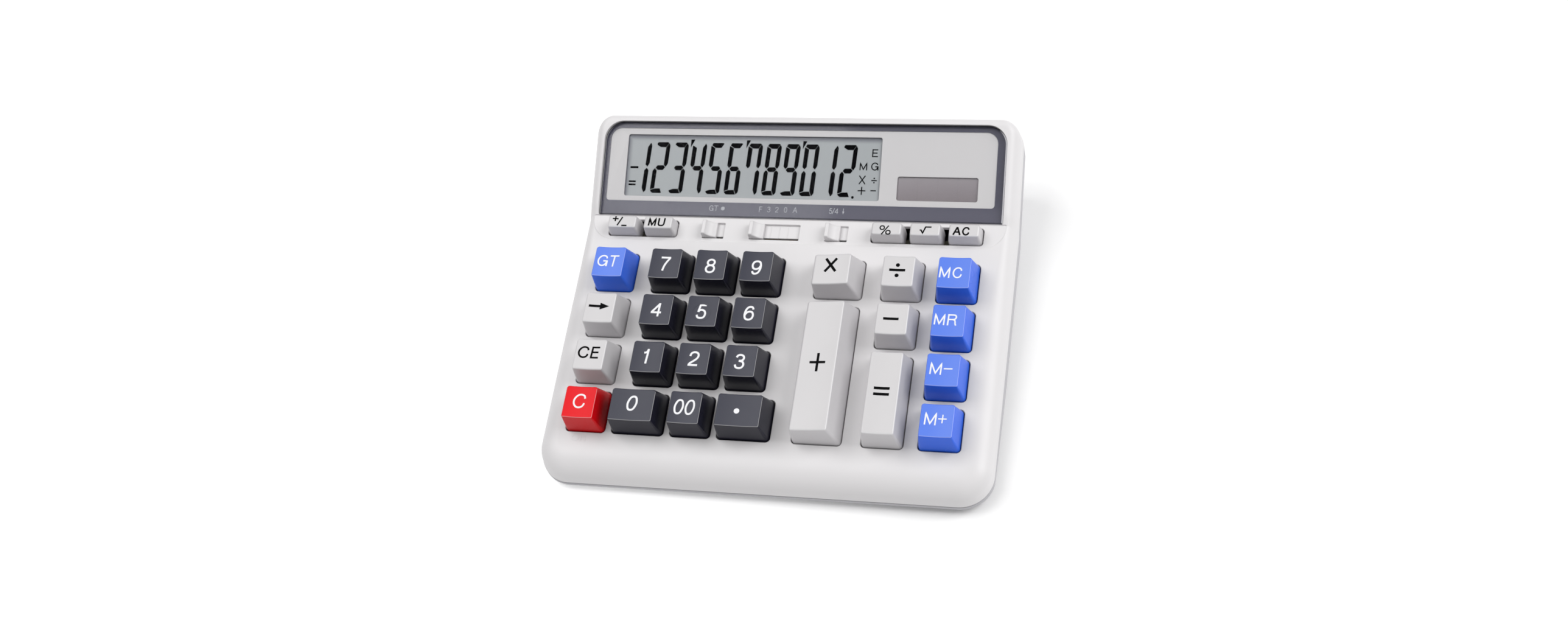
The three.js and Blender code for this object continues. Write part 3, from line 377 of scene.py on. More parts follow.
def spread(tree, value, fromLow, fromHigh, toLow=0, toHigh=1, smooth=False):
    node = add(tree, "ShaderNodeMapRange", interpolation_type="SMOOTHSTEP" if smooth else "LINEAR")
    giveAll(tree, node.inputs, Value=value, From_Min=fromLow, From_Max=fromHigh, To_Min=toLow, To_Max=toHigh)
    return node.outputs["Result"]


def blendColours(tree, factor, first, second, how="MIX"):
    node = add(tree, "ShaderNodeMix", data_type="RGBA", blend_type=how)
    for socket, value in ((node.inputs[0], factor), (node.inputs[6], first), (node.inputs[7], second)):
        give(tree, socket, value)
    return node.outputs[2]


def tinted(tree, amount, share, base, tint):
    return blendColours(tree, times(tree, amount, share), base, tint)


def fromNoise(tree, value, low, high):
    # the middle of a noise pattern's range becomes the whole range given
    return spread(tree, value, 0.3, 0.7, low, high)


white = (1, 1, 1, 1)


# moulded plastic: fine spark-eroded grain, with a slow change of tone and sheen over the surface
def mouldedGrainGroup():
    group, given, result = newGroup(
        "mouldedGrain", ("Color", "Roughness", "Height"), Color=(0.8, 0.8, 0.8, 1), Grain_Scale=6000,
        Tone_Change=0.05, Roughness=0.45, Roughness_Change=0.06)
    place = objectPlace(group)
    grain = noise(group, place, given["Grain Scale"], 3, 0.6)
    slow = noise(group, place, 28, 3)
    darker = blendColours(group, 1, given["Color"], (0.72, 0.72, 0.73, 1), "MULTIPLY")
    patches = times(group, calculate(group, "ADD", slow, times(group, grain, 0.5)), given["Tone Change"])
    swing = calculate(group, "SUBTRACT", calculate(group, "ADD", slow, grain), 1)
    swing = times(group, swing, given["Roughness Change"])
    giveAll(group, result, Color=blendColours(group, patches, given["Color"], darker), Height=grain,
            Roughness=calculate(group, "ADD", given["Roughness"], swing, clamp=True))
    return group


# key caps: satin tops with fine grain, glossy sides, found by the direction that the surface faces
def capFinishGroup():
    group, given, result = newGroup(
        "capFinish", ("Color", "Roughness", "Gloss", "Height"), Color=(0.8, 0.8, 0.8, 1),
        Side_Color=(0.7, 0.7, 0.7, 1), Top_Roughness=0.38, Side_Roughness=0.16, Grain_Scale=8000,
        Side_Gloss=0.2, Top_Gloss=0.5, Edge_Polish=0.28)
    place = objectPlace(group)
    upward = facing(group, (0, -math.sin(plateSlope), math.cos(plateSlope)))
    top = spread(group, upward, 0.86, 0.985, smooth=True)
    grain = noise(group, place, given["Grain Scale"], 3, 0.6)
    slow = noise(group, place, 60, 2)
    # on most caps the sides take a darker colour than the top: painted shade for faces that the lights reach
    # less
    colour = blendColours(group, top, given["Side Color"], given["Color"])
    dull = blendColours(group, 1, colour, (0.7, 0.7, 0.72, 1), "MULTIPLY")
    shaded = tinted(group, slow, 0.12, colour, dull)
    rough = spread(group, top, 0, 1, given["Side Roughness"], given["Top Roughness"])
    swing = times(group, calculate(group, "SUBTRACT", slow, 0.5), 0.08)
    # painted highlight: the front and right edges of the top are blended towards white, as if they caught
    # the light
    edge = times(group, spread(group, upward, 0.985, 0.93), spread(group, upward, 0.55, 0.75))
    edge = times(group, edge, spread(group, facing(group, (0.5, -0.85, 0)), 0.1, 0.3))
    paintedHighlight = times(group, edge, given["Edge Polish"])
    giveAll(group, result, Color=blendColours(group, paintedHighlight, shaded, white),
            Roughness=calculate(group, "ADD", rough, swing),
            Gloss=spread(group, upward, 0.25, 0.5, given["Side Gloss"], given["Top Gloss"]),
            Height=times(group, grain, top))
    return group


# drawn or brushed metal: fine lines along one direction, and dull patches
def brushedGroup():
    group, given, result = newGroup("brushedLines", ("Color", "Roughness", "Height"),
                                    Color=(0.6, 0.6, 0.6, 1), Line_Scale=3000, Roughness=0.3)
    place = objectPlace(group)
    stretch = add(group, "ShaderNodeVectorMath", operation="MULTIPLY")
    stretch.inputs[1].default_value = (0.03, 1, 1)
    group.links.new(place, stretch.inputs[0])
    lines = noise(group, stretch.outputs["Vector"], given["Line Scale"], 2)
    patches = spread(group, noise(group, place, 300, 3), 0.45, 0.75, 0, 0.5, True)
    dull = blendColours(group, 1, given["Color"], (0.62, 0.6, 0.58, 1), "MULTIPLY")
    giveAll(group, result, Color=blendColours(group, patches, given["Color"], dull), Height=lines,
            Roughness=calculate(group, "ADD", given["Roughness"], fromNoise(group, lines, -0.06, 0.12)))
    return group


# millimetres across and along the sloping display
def displayPlaceGroup():
    group, given, result = newGroup("displayPlace", ("Across", "Along"))
    back = displayFrame.inverted()
    mapping = add(group, "ShaderNodeMapping")
    giveAll(group, mapping.inputs, Vector=objectPlace(group), Location=back.translation,
            Rotation=back.to_euler(), Scale=(1 / mm, 1 / mm, 1 / mm))
    moved = mapping.outputs["Vector"]
    giveAll(group, result, Across=along(group, moved, "X"), Along=along(group, moved, "Y"))
    return group


groups = {
    "mouldedGrain": mouldedGrainGroup(),
    "capFinish": capFinishGroup(),
    "brushedLines": brushedGroup(),
    "displayPlace": displayPlaceGroup(),
}


def newMaterial(name, **sockets):
    material = bpy.data.materials.new(name)
    material.use_nodes = True
    shader = material.node_tree.nodes["Principled BSDF"].inputs
    giveAll(material.node_tree, shader, **sockets)
    return material, material.node_tree, shader


def useGroup(tree, name, **values):
    node = add(tree, "ShaderNodeGroup", node_tree=groups[name])
    giveAll(tree, node.inputs, **values)
    return node.outputs


def raised(tree, height, strength, depth):
    # depth in millimetres
    bump = add(tree, "ShaderNodeBump")
    giveAll(tree, bump.inputs, Strength=strength, Distance=depth * mm, Height=height)
    return bump.outputs["Normal"]


def mouldedPlastic(name, colour, roughness, grain=6000, depth=0.02, strength=0.35, tone=0.06, **sockets):
    material, tree, shader = newMaterial(name, **sockets)
    source = useGroup(tree, "mouldedGrain", Color=colour, Grain_Scale=grain, Tone_Change=tone,
                      Roughness=roughness)
    giveAll(tree, shader, Base_Color=source["Color"], Roughness=source["Roughness"],
            Normal=raised(tree, source["Height"], strength, depth))
    return material


def capPlastic(name, colour, shadedSideColour, topRoughness, sideRoughness, sideGloss, topGloss, spill=1):
    material, tree, shader = newMaterial(name)
    source = useGroup(tree, "capFinish", Color=colour, Side_Color=shadedSideColour, Top_Roughness=topRoughness,
                      Side_Roughness=sideRoughness, Side_Gloss=sideGloss, Top_Gloss=topGloss)
    base = source["Color"]
    if spill < 1:
        # a strong colour tints the plate and the keys around it only a little
        bounced = times(tree, add(tree, "ShaderNodeLightPath").outputs["Is Diffuse Ray"], 1 - spill)
        base = blendColours(tree, bounced, base, (0.3, 0.3, 0.3, 1))
    giveAll(tree, shader, Base_Color=base, Roughness=source["Roughness"], Specular_IOR_Level=source["Gloss"],
            Normal=raised(tree, source["Height"], 0.25, 0.012))
    return material


def brushedMetal(name, colour, roughness, lines=3000):
    material, tree, shader = newMaterial(name, Metallic=1)
    source = useGroup(tree, "brushedLines", Color=colour, Line_Scale=lines, Roughness=roughness)
    giveAll(tree, shader, Base_Color=source["Color"], Roughness=source["Roughness"],
            Normal=raised(tree, source["Height"], 0.2, 0.01))
    return material


def lensMaterial():
    # clear acrylic: its reflection shows, stronger at a flat angle, with faint smears; the bevel carries
    # painted shade and, on the right, a painted reflection
    material, tree, shader = newMaterial("clearLens", Metallic=0, IOR=1.49, Specular_IOR_Level=0.5)
    fresnel = add(tree, "ShaderNodeFresnel")
    fresnel.inputs["IOR"].default_value = 1.49
    outward = facing(tree, (0, -math.sin(displaySlope), math.cos(displaySlope)))
    # painted shade: the bevel is given more cover over a near black colour, so it shows dark all round
    edge = spread(tree, calculate(tree, "ABSOLUTE", outward), 0.97, 0.8, 0, 0.6)
    # painted reflection: the bevel on the right is given a pale colour and more cover, as if it picked up
    # the white rim beside it
    pale = times(tree, spread(tree, facing(tree, (1, 0, 0)), 0.4, 0.6), spread(tree, outward, 0.3, 0.6))
    edge = calculate(tree, "ADD", edge, times(tree, pale, 0.35))
    surface = calculate(tree, "MAXIMUM", times(tree, fresnel.outputs[0], 0.6), edge)
    lit = calculate(tree, "SUBTRACT", 1, add(tree, "ShaderNodeLightPath").outputs["Is Shadow Ray"])
    smears = noise(tree, objectPlace(tree), 45, 4)
    giveAll(tree, shader, Base_Color=blendColours(tree, pale, (0.012, 0.012, 0.018, 1), (0.9, 0.9, 0.93, 1)),
            Alpha=calculate(tree, "MULTIPLY", surface, lit, clamp=True),
            Roughness=spread(tree, smears, 0.4, 0.8, 0.02, 0.09))
    return material


def borderMaterial():
    # the printed border seen through the lens: dark blue grey, with a painted reflection that makes it
    # lighter towards the front and towards the left end
    material, tree, shader = newMaterial("printedBorder", Coat_Weight=0.4, Coat_Roughness=0.05)
    place = useGroup(tree, "displayPlace")
    front = spread(tree, place["Along"], 4, 10, 0, 1, True)
    side = spread(tree, place["Across"], lensLeft + 16, lensLeft + 2, 0, 0.8, True)
    share = calculate(tree, "MAXIMUM", front, side)
    base = blendColours(tree, share, paint(90, 89, 106), paint(74, 73, 92))
    speck = noise(tree, objectPlace(tree), 9000, 2)
    giveAll(tree, shader, Base_Color=tinted(tree, speck, 0.12, base, paint(110, 114, 128)),
            Roughness=fromNoise(tree, speck, 0.3, 0.4))
    return material


def panelMaterial():
    # silver grey print with very fine metal flake
    material, tree, shader = newMaterial("silverPanel", Metallic=0)
    place = objectPlace(tree)
    flake = add(tree, "ShaderNodeTexVoronoi")
    giveAll(tree, flake.inputs, Vector=place, Scale=7000)
    base = tinted(tree, noise(tree, place, 22, 3), 0.25, paint(229, 227, 228), paint(219, 218, 220))
    sparkle = spread(tree, flake.outputs["Distance"], 0.1, 0.5, 0, 0.12)
    giveAll(tree, shader, Base_Color=blendColours(tree, sparkle, base, paint(170, 170, 173)),
            Roughness=spread(tree, flake.outputs["Distance"], 0, 0.6, 0.42, 0.55))
    return material


def lcdMaterial():
    # grey green polariser, with painted shade along the edges of its window, strongest at the back and the
    # left
    material, tree, shader = newMaterial("lcdPolariser", Specular_IOR_Level=0.35)
    place = useGroup(tree, "displayPlace")
    # painted shade: darker bands along the window's edges, where the recess would shade the glass
    paintedWindowShade = 0
    for axis, outer, inner, amount in (("Along", lcdBack + 0.2, lcdBack - 2.4, 1),
                                       ("Across", lcdLeft - 0.4, lcdLeft + 2.6, 1),
                                       ("Across", lcdRight + 0.4, lcdRight - 1.2, 0.6),
                                       ("Along", lcdFront - 0.4, lcdFront + 0.9, 0.4)):
        paintedWindowShade = calculate(tree, "MAXIMUM", paintedWindowShade, spread(tree, place[axis], inner, outer, 0, amount, True))
    grain = noise(tree, objectPlace(tree), 12000, 2)
    slow = noise(tree, objectPlace(tree), 30, 2)
    base = tinted(tree, grain, 0.1, paint(181, 186, 188), paint(165, 170, 173))
    base = tinted(tree, slow, 0.16, base, paint(160, 164, 176))
    giveAll(tree, shader, Base_Color=tinted(tree, paintedWindowShade, 0.8, base, paint(92, 92, 106)),
            Roughness=fromNoise(tree, grain, 0.3, 0.36))
    return material


def solarMaterial():
    # amorphous cell: purple brown, lighter to the back, four strips parted by hair lines
    material, tree, shader = newMaterial("solarCell", Coat_Weight=0.3, Coat_Roughness=0.08)
    place = useGroup(tree, "displayPlace")
    share = spread(tree, place["Along"], solarFront, solarBack)
    base = blendColours(tree, share, paint(139, 131, 135), paint(163, 157, 162))
    fromLeft = calculate(tree, "SUBTRACT", place["Across"], solarLeft)
    strip = calculate(tree, "FRACT", calculate(tree, "DIVIDE", fromLeft, displayShape["solarWidth"] / 4))
    edge = calculate(tree, "MINIMUM", strip, calculate(tree, "SUBTRACT", 1, strip))
    line = spread(tree, edge, 0.006, 0.016, 0.1, 0, True)
    grain = noise(tree, objectPlace(tree), 5000, 3)
    toned = tinted(tree, grain, 0.2, base, paint(108, 98, 106))
    giveAll(tree, shader, Base_Color=blendColours(tree, line, toned, paint(86, 78, 82)),
            Roughness=fromNoise(tree, grain, 0.22, 0.3))
    return material


def boardMaterial():
    # green solder mask over copper tracks
    material, tree, shader = newMaterial("solderMask", Coat_Weight=0.3, Coat_Roughness=0.2)
    place = objectPlace(tree)
    tracks = add(tree, "ShaderNodeTexBrick", offset=0.37)
    giveAll(tree, tracks.inputs, Vector=place, Scale=160, Mortar_Size=0.03, Brick_Width=0.9, Row_Height=0.24)
    weave = noise(tree, place, 1500, 2)
    base = blendColours(tree, tracks.outputs["Fac"], paint(28, 92, 52), paint(54, 128, 70))
    giveAll(tree, shader, Base_Color=tinted(tree, weave, 0.3, base, paint(18, 64, 38)),
            Roughness=fromNoise(tree, weave, 0.35, 0.5),
            Normal=raised(tree, tracks.outputs["Fac"], 0.3, 0.04))
    return material


def batteryMaterial():
    # plain shrink sleeve with a lighter band at the positive end, and bare metal past it
    material, tree, shader = newMaterial("batterySleeve", Coat_Weight=0.5, Coat_Roughness=0.15)
    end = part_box("battery_cell")[1].x
    place = objectPlace(tree)
    across = along(tree, place, "X")
    band = spread(tree, across, end - 13 * mm, end - 12.6 * mm)
    bare = spread(tree, across, end - 2.1 * mm, end - 1.9 * mm)
    grain = noise(tree, place, 1200, 3)
    sleeve = blendColours(tree, band, paint(44, 78, 128), paint(196, 170, 92))
    whole = blendColours(tree, bare, sleeve, paint(190, 190, 194))
    giveAll(tree, shader, Base_Color=tinted(tree, grain, 0.2, whole, paint(36, 44, 60)), Metallic=bare,
            Roughness=fromNoise(tree, grain, 0.28, 0.42))
    return material


def inkMaterial(name, colour, roughness=0.55, gloss=0.25):
    # screen-printed ink: dense, with a slightly uneven film
    material, tree, shader = newMaterial(name, Specular_IOR_Level=gloss)
    film = noise(tree, objectPlace(tree), 2500, 3)
    thin = tuple(0.85 * value + 0.004 for value in colour[:3]) + (1,)
    giveAll(tree, shader, Base_Color=tinted(tree, film, 0.35, colour, thin),
            Roughness=fromNoise(tree, film, roughness - 0.06, roughness + 0.08))
    return material


# places of the display parts, in millimetres across and along the lens face
lensLeft, lensRight = -lensWidth / 2, lensWidth / 2
lensFront = displayShape["frontMargin"]
lensBack = lensFront + displayShape["depth"]
lcdLeft = lensLeft + displayShape["lcdSide"]
lcdRight = lcdLeft + displayShape["lcdWidth"]
lcdFront = lensFront + displayShape["lcdBottom"]
lcdBack = lcdFront + displayShape["lcdDepth"]
solarRight = lensRight - displayShape["solarSide"]
solarLeft = solarRight - displayShape["solarWidth"]
solarFront = lensFront + displayShape["solarBottom"]
solarBack = solarFront + displayShape["solarDepth"]
panelFace = -displayShape["lens"] - seat
pocketFloor = panelFace - displayShape["panel"] - seat
deckBottom = pocketFloor - displayShape["deck"]

finishes = {
    "case": mouldedPlastic("casePlastic", paint(221, 219, 220), 0.42, 5000),
    # the base and the door are painted darker than the top case: painted shade for walls that face down and
    # away from the lights
    "base": mouldedPlastic("shadedBasePlastic", paint(182, 181, 185), 0.5, 3500, depth=0.03, strength=0.5),
    "figure": capPlastic("figureCap", paint(51, 52, 65), paint(31, 31, 43), 0.4, 0.26, 0.18, 0.4),
    "function": capPlastic("functionCap", paint(206, 204, 205), paint(206, 204, 206), 0.42, 0.3, 0.4, 0.5),
    "memory": capPlastic("memoryCap", paint(90, 128, 230), paint(52, 106, 234), 0.38, 0.26, 0.15, 0.4, 0.3),
    "clear": capPlastic("clearCap", paint(228, 20, 30), paint(206, 8, 18), 0.36, 0.26, 0.15, 0.15, 0.3),
    "knob": mouldedPlastic("knobPlastic", paint(218, 216, 217), 0.36, 7000, depth=0.01),
    "lens": lensMaterial(),
    "border": borderMaterial(),
    "panel": panelMaterial(),
    "lcd": lcdMaterial(),
    "segment": inkMaterial("lcdSegment", paint(4, 4, 6), 0.6, 0.02),
    "solar": solarMaterial(),
    "board": boardMaterial(),
    "holder": mouldedPlastic("holderPlastic", paint(232, 231, 226), 0.5, 3000, depth=0.03),
    "silicone": mouldedPlastic("siliconeRubber", paint(206, 201, 186), 0.62, 2600,
                               Subsurface_Weight=0.2, Subsurface_Radius=(0.002, 0.002, 0.0015)),
    "foot": mouldedPlastic("footRubber", paint(38, 38, 40), 0.78, 2200, depth=0.05, strength=0.6, tone=0.3),
    "steel": brushedMetal("zincSteel", paint(188, 190, 196), 0.3),
    "spring": brushedMetal("springWire", paint(196, 197, 200), 0.24, 6000),
    "brass": brushedMetal("stampedBrass", paint(214, 178, 104), 0.28),
    "battery": batteryMaterial(),
    "ribbon": mouldedPlastic("ribbonFilm", paint(204, 146, 62), 0.35, 1800, depth=0.01, tone=0.2),
    "lead": mouldedPlastic("leadSleeve", paint(160, 34, 32), 0.45, 2400, depth=0.01, tone=0.15),
    "whiteInk": inkMaterial("whiteInk", paint(240, 240, 242)),
    "blackInk": inkMaterial("blackInk", paint(2, 2, 3), gloss=0.05),
    "greyInk": inkMaterial("greyInk", paint(200, 202, 208)),
}
print("finishes ready:", len(finishes))


# outline of the case, from the middle of the front round the right side to the middle of the back
def caseOutline():
    outline = []
    frontRadius, backRadius = caseShape["frontCorner"], caseShape["backCorner"]

    def corner(radius, centreY, start, mostInset=math.inf):
        for i in range(caseShape["cornerSteps"] + 1):
            angle = start + math.pi / 2 * i / caseShape["cornerSteps"]
            nx, ny = math.cos(angle), math.sin(angle)
            outline.append((halfWidth - radius + radius * nx, centreY + radius * ny, nx, ny, mostInset))

    start = frontY + frontRadius
    corner(frontRadius, start, -math.pi / 2)
    sides = caseShape["sideSteps"]
    fade = caseShape["rimFade"] * math.cos(displaySlope)
    along = [start + (foldY - start) * i / sides for i in range(1, sides)]
    for y in along + [foldY, foldY + fade / 2, foldY + fade]:
        outline.append((halfWidth, y, 1, 0, math.inf))
    # rings set far in keep a least radius at the back corner
    corner(backRadius, backY - backRadius, 0, backRadius - caseShape["leastCorner"])
    return outline


stations = caseOutline()


def caseRing(insetAt, heightAt):
    right = []
    for x, y, nx, ny, mostInset in stations:
        inset = insetAt(y)
        rounded = min(inset, mostInset)
        moved = y - ny * rounded - (inset - rounded)
        right.append((x - nx * rounded - (inset - rounded), moved, heightAt(moved)))
    return right + [(-x, y, z) for x, y, z in reversed(right)]


def caseLoft(rings):
    return ringLoft("caseLoft", rings, mirror=len(rings[0]) - 1)


def faceZ(y):
    if y <= foldY:
        return caseShape["frontHeight"] + (y - frontY) * math.tan(plateSlope)
    share = min((y - foldY) / (caseShape["rimFade"] * math.cos(displaySlope)), 1)
    rim = share * caseShape["rimHeight"] / math.cos(displaySlope)
    return foldZ + (y - foldY) * math.tan(displaySlope) + rim


def seamZ(y):
    return faceZ(y) - caseShape["seamDrop"]


def leanAt(y, z):
    return caseShape["leanShare"] * max(seamZ(y) - caseShape["skirt"] - z, 0)


def eased(share):
    share = min(max(share, 0), 1)
    return share * share * (3 - 2 * share)


def lipBlend(y, front, side, display):
    if y < frontY + caseShape["frontCorner"]:
        return front + (side - front) * eased((y - frontY) / caseShape["frontCorner"])
    start = frontY + plateLength / 2
    return side + (display - side) * eased((y - start) / (foldY - start))


def lipWidth(y):
    return lipBlend(y, caseShape["frontLip"], caseShape["sideLip"], caseShape["displayLip"])


def lipDrop(y):
    return lipBlend(y, caseShape["frontDrop"], caseShape["sideDrop"], caseShape["displayDrop"])


def caseBlock(inwards, downwards, startZ, soft=0):
    rings = [caseRing(lambda y: inwards, startZ)]
    if soft:
        rings = [caseRing(lambda y: soft * up, lambda y: startZ(y) + soft * across)
                 for across, up in quarter(caseShape["edgeSteps"])]
    for across, up in quarter(caseShape["lipSteps"]):
        rings.append(caseRing(
            lambda y: inwards + caseShape["draft"] + (lipWidth(y) - caseShape["draft"]) * across,
            lambda y: faceZ(y) - downwards - lipDrop(y) * up))
    return caseLoft(rings)


# the keys: name, column and row, colour, and what differs from a plain key
def listKeys():
    keys = []

    def addKey(name, column, row, colour, shift=0, **more):
        keys.append({"name": "key_" + name, "x": columnX[column] + shift, "y": rowAlong(row),
                     "width": keyField["width"], "depth": keyField["depth"], "colour": colour, **more})

    for row, names in enumerate(("789", "456", "123")):
        for column, name in zip(("first", "second", "third"), names):
            addKey(name, column, row, "figure")
    addKey("00", "second", 3, "figure")
    extra = keyField["wideExtra"]
    for name, column, shift in (("0", "first", -extra / 2), ("point", "third", extra / 2)):
        addKey(name, column, 3, "figure", shift, width=keyField["width"] + extra)
    addKey("grand_total", "left", 0, "memory")
    addKey("backspace", "left", 1, "function")
    addKey("clear_entry", "left", 2, "function")
    addKey("clear", "left", 3, "clear")
    broad = {"width": keyField["multiplyWidth"], "lean": True}
    addKey("multiply", "multiply", 0, "function", **broad)
    addKey("plus", "multiply", 2, "function", depth=3 * keyField["depth"] + 2 * keyField["rowGap"],
           stems=(-rowPitch, rowPitch), **broad)
    addKey("divide", "divide", 0, "function")
    addKey("minus", "divide", 1, "function")
    addKey("equals", "divide", 2.5, "function", depth=2 * keyField["depth"] + keyField["rowGap"],
           stems=(-rowPitch / 2, rowPitch / 2))
    for row, name in enumerate(("clear", "recall", "minus", "plus")):
        addKey("memory_" + name, "memory", row, "memory")
    width, pitch = smallRow["width"], smallRow["width"] + smallRow["gap"]
    left = fieldLeft + smallRow["leftMargin"] + width / 2
    right = fieldLeft + fieldWidth - smallRow["rightMargin"] - width / 2
    for name, x in (("plus_minus", left), ("mark_up", left + pitch), ("percent", right - 2 * pitch),
                    ("root", right - pitch), ("all_clear", right)):
        keys.append({"name": "key_" + name, "x": x, "y": smallFront + smallRow["depth"] / 2, "small": True,
                     "width": width, "depth": smallRow["depth"], "colour": "function"})
    return keys


keys = listKeys()
keyByName = {key["name"]: key for key in keys}

# slide switches share the space between the two groups of small keys
switches = {
    "knobWidth": 5.7, "knobDepth": 6.7, "knobHeight": 3.6, "ridgeWidth": 1.6, "ridgeRound": 0.45,
    "footHeight": 0.7, "footDropShare": 0.3, "hollow": 2.1, "clearance": 0.25, "twoStep": 2.9, "step": 3.65,
    "steps": 4, "leftGap": 10.8, "rightGap": 9.7, "slotDepth": 1, "slotCorner": 0.4, "slotFlare": 0.15,
    "tabThickness": 0.8, "tabWidth": 3.6, "carrierDepth": 3.6, "carrierHeight": 5.6, "endRound": 0.7,
    "endShares": (0, 0.08, 0.3, 0.6, 1), "ribWidth": 0.24, "ribHeight": 0.12, "ribFront": 0.1,
    "ribBack": 0.05, "ribSink": 0.1,
}


def listSlots():
    knob = switches["knobWidth"] + 2 * switches["clearance"]
    short, long = knob + switches["twoStep"], knob + switches["step"] * switches["steps"]
    edge = smallRow["width"] / 2 + keyField["clearance"]
    first = keyByName["key_mark_up"]["x"] + edge + switches["leftGap"]
    end = keyByName["key_percent"]["x"] - edge - switches["rightGap"]
    spare = (end - first - 2 * short - long) / 2
    return [{"name": "grand_total_switch", "x": first, "width": short},
            {"name": "decimal_switch", "x": first + short + spare, "width": long},
            {"name": "rounding_switch", "x": first + short + long + 2 * spare, "width": short}]


slots = listSlots()
slotFront = smallFront - switches["clearance"]
slotBack = slotFront + switches["knobDepth"] + 2 * switches["clearance"]
slotFloor = -caseShape["recessDepth"] - switches["slotDepth"]
slitBack = slotFront + switches["tabThickness"] + 2 * switches["clearance"]

# screws, posts and depths under the key plate
inside = {
    "flangeThickness": 1.2, "flangeOverhang": 1.1, "flangeLength": 8, "smallFlangeLength": 4,
    "capWall": 1.4, "capRoof": 1.8, "stemRadius": 2.2, "smallStemRadius": 1.6, "stemDepth": 5.3,
    "stemSink": 0.2, "domeCollapsed": 0.4, "domeBase": 3.6, "domeTop": 2.4, "sheet": 0.8, "board": 1.4,
    "boardSide": 1, "boardFront": 3.4, "boardBack": 3, "boardCorner": 3, "ribbonWidth": 52,
    "bossRadius": 2.4, "screwRadius": 1.1, "screwClearance": 0.3, "screwLength": 10, "headRadius": 2.5,
    "caseBoss": 3, "bossSink": 1.5,
    "standoff": 3.8, "standoffTop": 7.4, "screwFront": 36, "screwBack": 43.5, "counterbore": 3,
    "counterboreFlare": 0.3, "flareFoot": 0.01, "tongueWall": 1.2, "tongueHeight": 1.8, "tongueRoot": 0.5,
    "tongueRootHeight": 2.4, "pilotDepth": 7, "boardPilot": 6,
}
flangeTop = -wall - seat
flangeBottom = flangeTop - inside["flangeThickness"]
domeTop = -inside["stemDepth"] - seat
sheetTop = domeTop - keyField["travel"] - inside["domeCollapsed"]
sheetBottom = sheetTop - inside["sheet"]
boardTop = sheetBottom - seat
boardBottom = boardTop - inside["board"]
screwHole = inside["screwRadius"] + inside["screwClearance"]
tongueInset = wall + caseShape["draft"] + 2 * seat
screwX = halfWidth - tongueInset - inside["tongueWall"] - seat - inside["caseBoss"]


def atCorners(x, y0, y1):
    return [(-x, y0), (x, y0), (-x, y1), (x, y1)]


caseScrews = atCorners(screwX, frontY + inside["screwFront"], backY - inside["screwBack"])
boardScrews = [(x, rowAlong(row)) for x in (
    (columnX["left"] + columnX["first"]) / 2,
    columnX["third"] + (keyField["width"] + keyField["operatorGap"]) / 2,
    columnX["divide"] - (keyField["width"] + keyField["divideGap"]) / 2,
) for row in (0, 2)]


def lensOutline(inset):
    front = max(displayShape["bottomCorner"] - inset, displayShape["bottomCorner"] / 2)
    return roundedOutline(*grown((lensLeft, lensRight, lensFront, lensBack), -inset), front,
                          displayShape["topCorner"] - inset, displayShape["cornerSteps"])


def rimAt(along):
    return caseShape["rimHeight"] * min(max(along / caseShape["rimFade"], 0), 1)


def footprint(key):
    halfX, halfY = key["width"] / 2, key["depth"] / 2
    return key["x"] - halfX, key["x"] + halfX, key["y"] - halfY, key["y"] + halfY


def keyHole(bounds, sizes, surface=0):
    return opening(grown(bounds, keyField["clearance"]), sizes["holeCorner"], -wall - overrun["near"],
                   sizes["holeFlare"], plateFrame, surface, 6)


